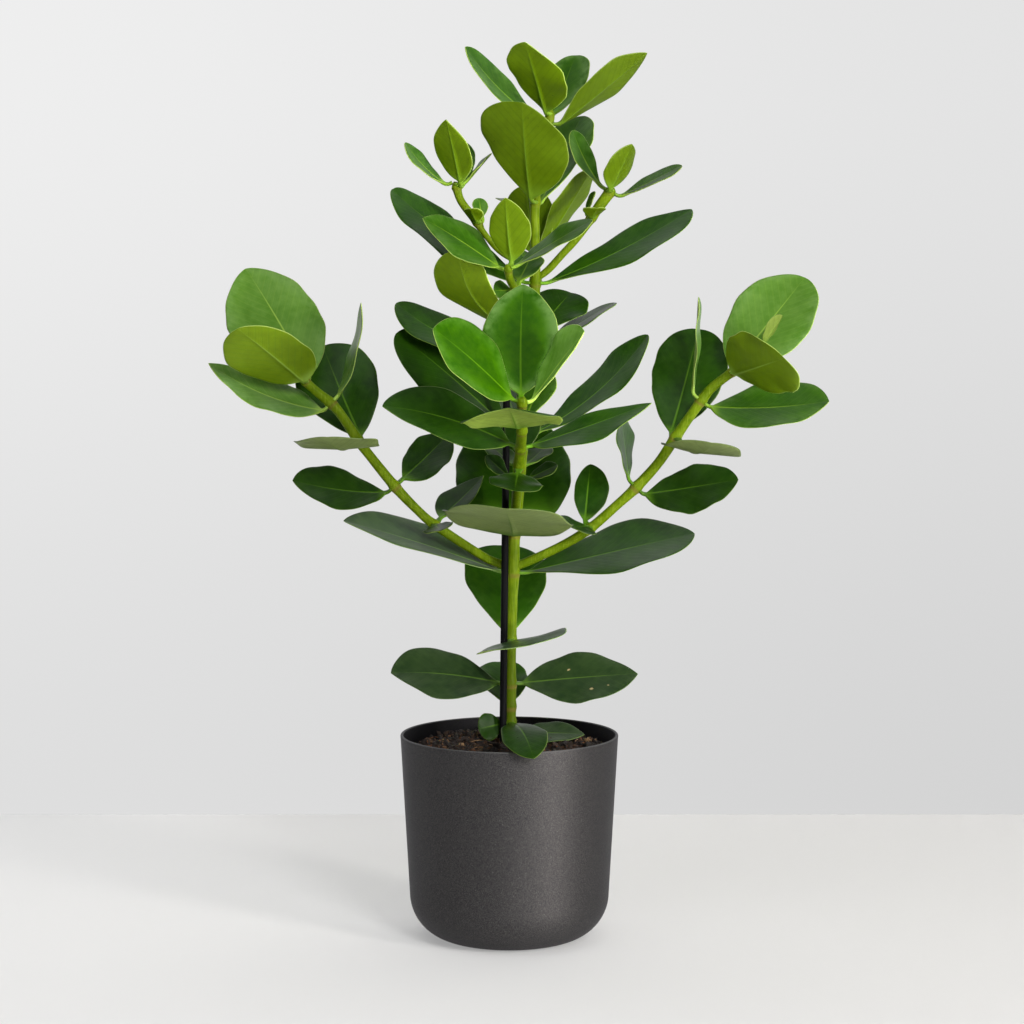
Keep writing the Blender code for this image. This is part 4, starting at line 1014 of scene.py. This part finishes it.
def leaf_material(name, look, tone):
    """Skin of one leaf: mottled green, fine slanting veins, a pale midrib, a pale edge line and a painted
    sheen inside that line.
    """
    colours = LEAF_LOOKS[look]
    graph = Graph(name)
    across, along, face = graph.attribute("leaf_mm")
    rim, share, bladed = graph.attribute("leaf_edge")
    away = graph.math("ABSOLUTE", across)
    upper = graph.fade(face, -0.3, 0.3)
    mottle = graph.scaled(graph.noise(38.0, 4.0), 0.5, graph.times(graph.noise(150.0, 5.0), 0.5))
    fine = graph.noise(420.0)
    veins = leaf_veins(graph, away, along)

    top = graph.blend(mottle, *MOTTLED, colours["deep"], colours["light"])
    top = graph.mix(graph.times(veins, colours["veins"]), top, colours["rib"])
    # Painted sheen: a pale band inside the edge, in patches, with the middle of the blade darker in step with
    # it
    painted_sheen = graph.fade(rim, 1.0, PAINTED_SHEEN_REACH, PAINTED_SHEENS.get(name, colours["painted_sheen"]), 0.0)
    top = graph.mix(graph.times(painted_sheen, graph.fade(mottle, 0.35, 0.6)), top, colours["pale"])
    heart = graph.fade(rim, PAINTED_SHEEN_REACH * 0.6, PAINTED_SHEEN_REACH * 1.6, 0.0, colours["painted_sheen"])
    top = graph.mix(graph.times(heart, 0.8), top, each_times(colours["deep"], 0.6))
    bottom = graph.blend(mottle, *MOTTLED, colours["under"], each_times(colours["under"], 1.25))
    bottom = graph.mix(graph.times(veins, VEINS_UNDER), bottom, colours["deep"])
    colour = leaf_blemishes(graph, name, graph.mix(upper, bottom, top), across, along, fine)

    rib_width = graph.scaled(share, RIB_WIDTH[1] - RIB_WIDTH[0], RIB_WIDTH[0])
    rib = graph.fade(graph.math("DIVIDE", away, rib_width), 0.5, 1.1, 1.0, 0.0)
    rib = graph.times(rib, graph.fade(share, 0.50, 0.98, 0.75, 0.10))
    colour = graph.mix(rib, colour, colours["rib"])
    colour = graph.mix(graph.fade(rim, 0.25, EDGE_LINE, 0.8, 0.0), colour, colours["edge"])
    colour = graph.mix(graph.fade(bladed, 0.35, 1.0, 0.9, 0.0), colour, each_times(colours["rib"], 1.1))
    colour = graph.mix(1.0, colour, (tone, tone, tone), "MULTIPLY")

    graph.bump(graph.scaled(veins, -0.6, graph.times(fine, 0.5)), 0.00007)
    rough = graph.scaled(graph.noise(90.0), 0.16, 0.24)
    rough = graph.scaled(graph.math("SUBTRACT", 1.0, upper), 0.18, rough)
    return graph.finish(colour, rough, Specular_IOR_Level=GLOSSES.get(name, colours["gloss"]))


# Heights between which the bark changes, in mm
OLD_BARK = (185.0, 285.0)
FLECKED_BARK = (190.0, 330.0)
SCARRED_BARK = (330.0, 640.0)
# Painted shade on the pot's inner wall, in mm: depth behind the outer face, and height
INSIDE_SHADE_DEPTH = (1.2, 2.2)
INSIDE_SHADE_HEIGHT = (80.0, 90.0)
LIP_HIGHLIGHT_HEIGHT = (POT_RIM_HEIGHT - 0.9, POT_RIM_HEIGHT - 0.3)   # where the painted highlight on the lip begins and is full
# Other colours, linear RGB
BARK = {
    "deep": (0.084, 0.145, 0.001), "light": (0.128, 0.2, 0.003), "streak": (0.3, 0.39, 0.04),
    "low": (0.048, 0.08, 0.001), "fleck": (0.1, 0.07, 0.02), "scar": (0.175, 0.105, 0.035),
}
# In the glaze, the inside colour is painted shade and the lip colour a painted highlight
GLAZE = {
    "deep": (0.034, 0.034, 0.038), "light": (0.088, 0.083, 0.081), "cloud": (0.062, 0.06, 0.061),
    "sparkle": (0.4, 0.39, 0.38), "inside": (0.006, 0.006, 0.008), "lip": (0.2, 0.2, 0.205),
}
SOIL = {"deep": (0.006, 0.003, 0.002), "light": (0.06, 0.026, 0.01)}
# Crumb colours by a crumb's own number from 0 to 1
CRUMBS = (
    (0.0, (0.004, 0.002, 0.001)), (0.55, (0.007, 0.003, 0.002)), (0.84, (0.026, 0.01, 0.004)),
    (0.96, (0.16, 0.075, 0.03)), (1.0, (0.42, 0.26, 0.13)),
)
CRUMB_GRAIN = (0.01, 0.005, 0.003)
CRUMB_WARM = (0.22, 0.08, 0.025)
PLASTIC = {"deep": (0.0025, 0.0025, 0.003), "light": (0.007, 0.007, 0.008)}


def stem_material(name):
    """Green bark: bright between the nodes, brown in the leaf scars, older and browner near the soil."""
    graph = Graph(name)
    _, scar, height = graph.attribute("stem_mm")
    mottle = graph.noise(120.0, 4.0)
    streaks = graph.noise(900.0, 3.0, 0.06)
    colour = graph.blend(mottle, *MOTTLED, BARK["deep"], BARK["light"])
    colour = graph.mix(graph.times(graph.fade(streaks, 0.45, 0.75), 0.30), colour, BARK["streak"])
    colour = graph.mix(graph.fade(height, *OLD_BARK, 0.85, 0.0), colour, BARK["low"])
    flecks = graph.fade(graph.noise(700.0, 2.0), 0.62, 0.70)
    flecks = graph.times(flecks, graph.fade(height, *FLECKED_BARK, 0.7, 0.1))
    colour = graph.mix(flecks, colour, BARK["fleck"])
    ring = graph.times(scar, graph.fade(height, *SCARRED_BARK, 0.85, 0.25))
    ring = graph.times(ring, graph.fade(graph.noise(260.0, 2.0), 0.25, 0.6, 0.5, 1.0))
    colour = graph.mix(ring, colour, BARK["scar"])
    graph.bump(graph.math("ADD", streaks, graph.times(scar, -1.2)), 0.00018)
    return graph.finish(colour, graph.scaled(mottle, 0.2, 0.36), Specular_IOR_Level=0.06)


def pot_material(name):
    """Anthracite with a fine metallic grain, with painted shade inside and a painted highlight on its lip."""
    graph = Graph(name)
    grain = graph.noise(1600.0, 2.0)
    colour = graph.blend(grain, 0.35, 0.65, GLAZE["deep"], GLAZE["light"])
    colour = graph.mix(graph.times(graph.noise(45.0, 4.0), 0.25), colour, GLAZE["cloud"])
    sparkle = graph.fade(graph.noise(1900.0, 1.0), 0.66, 0.76)
    colour = graph.mix(graph.times(sparkle, 0.35), colour, GLAZE["sparkle"])
    x, y, z = graph.node("ShaderNodeSeparateXYZ", {0: graph.place()}).outputs
    foot, top = wall_radius(0.0) * MM, wall_radius(POT_RIM_HEIGHT) * MM
    wall = graph.scaled(z, (top - foot) / (POT_RIM_HEIGHT * MM), foot)
    # Painted shade: the inner wall darker, from a little behind the outer face and above a height
    depth = graph.math("SUBTRACT", wall, graph.distance(x, y))
    inside = graph.fade(depth, *each_times(INSIDE_SHADE_DEPTH, MM))
    inside = graph.times(inside, graph.fade(z, *each_times(INSIDE_SHADE_HEIGHT, MM)))
    colour = graph.mix(graph.times(inside, 0.85), colour, GLAZE["inside"])
    # Painted highlight: a paler band along the top of the lip
    lip = graph.fade(z, *each_times(LIP_HIGHLIGHT_HEIGHT, MM))
    colour = graph.mix(graph.times(lip, 0.45), colour, GLAZE["lip"])
    graph.bump(grain, 0.00006)
    return graph.finish(colour, graph.scaled(grain, 0.08, 0.55), Metallic=0.85,
                        Specular_Tint=(0.70, 0.70, 0.72, 1.0), Anisotropic=0.45, Anisotropic_Rotation=0.25)


def soil_material(name):
    """Dark fine mix between the crumbs."""
    graph = Graph(name)
    lumps = graph.noise(420.0, 6.0)
    graph.bump(lumps, 0.0012)
    return graph.finish(graph.blend(lumps, 0.35, 0.7, SOIL["deep"], SOIL["light"]), 0.95)


def crumb_material(name):
    """Bark crumbs, from near black through red brown to pale wood, each with its own tint."""
    graph = Graph(name)
    tint, other, _ = graph.attribute("crumb")
    ramp = graph.node("ShaderNodeValToRGB", {"Fac": tint})
    stops = ramp.color_ramp.elements
    for place, _ in CRUMBS[1:-1]:
        stops.new(place)
    for stop, (_, colour) in zip(stops, CRUMBS):
        stop.color = (*colour, 1.0)
    grain = graph.noise(900.0, 4.0)
    colour = graph.mix(graph.times(grain, 0.6), ramp.outputs["Color"], CRUMB_GRAIN)
    colour = graph.mix(graph.times(graph.fade(other, 0.88, 0.97), 0.6), colour, CRUMB_WARM)
    graph.bump(grain, 0.0005)
    return graph.finish(colour, graph.scaled(grain, 0.2, 0.65))


def stake_material(name):
    """Black plastic with faint lengthwise drawing marks."""
    graph = Graph(name)
    marks = graph.noise(1500.0, 3.0, 0.02)
    colour = graph.blend(marks, 0.4, 0.7, PLASTIC["deep"], PLASTIC["light"])
    graph.bump(marks, 0.00008)
    return graph.finish(colour, graph.scaled(marks, 0.2, 0.50), Specular_IOR_Level=0.06)


# ---------------------------------------------------------------- the pieces

def build_leaves():
    """Every leaf that is a piece of its own."""
    for name, row in LEAVES.items():
        tone = rng.uniform(0.92, 1.08) * TONES.get(name, 1.0)
        skin = leaf_material(name, look_of(name), tone)
        finish_piece(leaf_mesh("fine_" + name, [(name, row)]), skin, name + "_skin", name)


def build_stems():
    """The stems, and the other shoots. A shoot's small leaves are a piece of their own."""
    bark = stem_material("stem_bark")
    finish_piece(stem_mesh("fine_stems", TRUNK), bark, "stem_bark", "stems")
    for shoot in SHOOTS:
        node, slot = "stems", "stem_bark"
        if shoot not in TRUNK:
            node, slot = "shoot_" + shoot, "shoot_" + shoot + "_skin"
            finish_piece(stem_mesh("fine_" + node, (shoot,)), bark, slot, node)
        if shoot in SMALL_LEAVES:
            skin = leaf_material("leaves_of_" + shoot, look_of(node), TONES.get(node, 1.0))
            finish_piece(leaf_mesh("fine_leaves_" + shoot, SMALL_LEAVES[shoot]), skin, slot, node)


def build_pot_and_soil():
    """The pot, the soil bed with its crumbs, and the stake."""
    pot = turned("fine_pot", pot_profile(), POT_SEGMENTS)
    finish_piece(pot, pot_material("pot_glaze"), "pot_glaze", "pot")
    finish_piece(build_soil_bed(), soil_material("soil_fines"), "soil_crumbs", "soil")
    finish_piece(build_crumbs(), crumb_material("soil_crumbs"), "soil_crumbs", "soil")
    finish_piece(build_stake(), stake_material("stake_plastic"), "stake_plastic", "stake")


# ---------------------------------------------------------------- the studio

def grey(level):
    """A colour without hue."""
    return (level, level, level)


CAMERA_PLACE = (0.0022, -2.0, 0.507)
CAMERA_PITCH = 4.41     # degrees below level
CAMERA_LENS = 85.9      # mm
CAMERA_SENSOR = 36.0    # mm
WALL_Y = 0.50
STUDIO_WIDTH = 8.0
# Soft lamps: place, the point they face, width and height in metres, power in watts, colour
LAMPS = {
    "key": ((0.85, -2.15, 1.35), (0.0, 0.0, 0.30), (0.55, 0.9), 37.0, (1.0, 0.990, 0.970)),
    "strip": ((1.62, -1.42, 0.56), (0.0, 0.0, 0.12), (0.34, 0.75), 44.0, (1.0, 0.955, 0.90)),
    "overhead": ((-0.25, -1.00, 2.0), (0.0, 0.0, 0.40), (1.5, 0.9), 8.0, (1.0, 1.0, 1.0)),
}
WORLD_COLOUR = (0.98, 0.99, 1.0)
WORLD_STRENGTH = 0.25
STUDIO_PAINT = (0.78, 0.78, 0.78)       # what the lamps' light falls on
FLOOR_GLOW = 0.42       # share of the floor's look that is painted light in its own greys rather than lit paint
# Painted light: greys at the left and right, then place and grey at the top or back and at the bottom or
# front
FLOOR_SHADES = (grey(1.0), grey(0.42), (1.0, grey(1.0)), (0.80, grey(0.86)))
WALL_SHADES = (grey(0.86), grey(0.77), (0.10, grey(1.0)), (0.0, grey(0.855)))


def shaded_colour(graph, left, right, high, low):
    """A grey that runs from left to right, and from high to low in the plane's own height.
    High and low each hold a place from 0 to 1 and a colour.
    """
    place = graph.node("ShaderNodeTexCoord").outputs["Generated"]
    x, y, _ = graph.node("ShaderNodeSeparateXYZ", {0: place}).outputs
    sideways = graph.blend(x, 0.42, 0.58, left, right)
    return graph.mix(1.0, sideways, graph.blend(y, low[0], high[0], low[1], high[1]), "MULTIPLY")


def mixed_shader(graph, share, first, second):
    """Two shaders mixed by a share."""
    blend = graph.node("ShaderNodeMixShader", {0: share})
    graph.links.new(first, blend.inputs[1])
    graph.links.new(second, blend.inputs[2])
    return blend.outputs[0]


def studio_material(name, shades, glow_share):
    """A surface that scatters light as a plain pale one, glows in painted greys where it is seen, and opens
    from behind.
    """
    graph = Graph(name)
    graph.finish(STUDIO_PAINT, 0.9)
    path = graph.node("ShaderNodeLightPath").outputs
    seen = graph.math("MAXIMUM", path["Is Glossy Ray"], path["Is Transmission Ray"])
    seen = graph.math("MAXIMUM", path["Is Camera Ray"], seen)
    # Painted light: the glowing greys, seen directly and in reflections
    glow = graph.node("ShaderNodeEmission", {"Color": shaded_colour(graph, *shades), "Strength": 1.0})
    front = mixed_shader(graph, graph.times(seen, glow_share), graph.shader.outputs[0], glow.outputs[0])
    behind = graph.node("ShaderNodeNewGeometry").outputs["Backfacing"]
    clear = graph.node("ShaderNodeBsdfTransparent").outputs[0]
    surface = mixed_shader(graph, graph.times(behind, path["Is Camera Ray"]), front, clear)
    output = [node for node in graph.nodes if node.type == "OUTPUT_MATERIAL"][0]
    graph.links.new(surface, output.inputs["Surface"])
    return graph.material


def studio_plane(name, place, tilt, material):
    """A square surface of the studio, tilted about X."""
    bpy.ops.mesh.primitive_plane_add(size=1.0, location=place, rotation=(tilt, 0.0, 0.0))
    plane = bpy.context.object
    plane.name = name
    plane.scale = (STUDIO_WIDTH, STUDIO_WIDTH, 1.0)
    plane.data.materials.append(material)


def studio_lamp(name, place, target, size, power, colour):
    """A soft lamp that faces its target."""
    data = bpy.data.lights.new(name, "AREA")
    data.shape = "RECTANGLE"
    data.size, data.size_y = size
    data.energy = power
    data.color = colour
    lamp = bpy.data.objects.new(name, data)
    bpy.context.scene.collection.objects.link(lamp)
    lamp.location = place
    aim = mathutils.Vector(target) - mathutils.Vector(place)
    lamp.rotation_euler = aim.to_track_quat("-Z", "Y").to_euler()


def studio_camera():
    """The camera, which looks at the front from a little above."""
    data = bpy.data.cameras.new("camera")
    data.lens = CAMERA_LENS
    data.sensor_width = CAMERA_SENSOR
    camera = bpy.data.objects.new("camera", data)
    bpy.context.scene.collection.objects.link(camera)
    camera.location = CAMERA_PLACE
    camera.rotation_euler = (np.radians(90.0 - CAMERA_PITCH), 0.0, 0.0)
    bpy.context.scene.camera = camera


def build_studio():
    """A pale floor, a pale wall, soft lamps and the camera."""
    floor = studio_material("studio_floor", FLOOR_SHADES, FLOOR_GLOW)
    wall = studio_material("studio_wall", WALL_SHADES, 1.0)
    half = STUDIO_WIDTH / 2.0
    studio_plane("studio_floor", (0.0, WALL_Y - half, 0.0), 0.0, floor)
    studio_plane("studio_wall", (0.0, WALL_Y, half), np.pi / 2.0, wall)
    for name, settings in LAMPS.items():
        studio_lamp(name, *settings)
    scene = bpy.context.scene
    scene.world = bpy.data.worlds.new("studio")
    scene.world.use_nodes = True
    background = scene.world.node_tree.nodes["Background"]
    background.inputs["Color"].default_value = (*WORLD_COLOUR, 1.0)
    background.inputs["Strength"].default_value = WORLD_STRENGTH
    studio_camera()
    scene.view_settings.view_transform = "Standard"


build_studio()
build_pot_and_soil()
build_stems()
build_leaves()
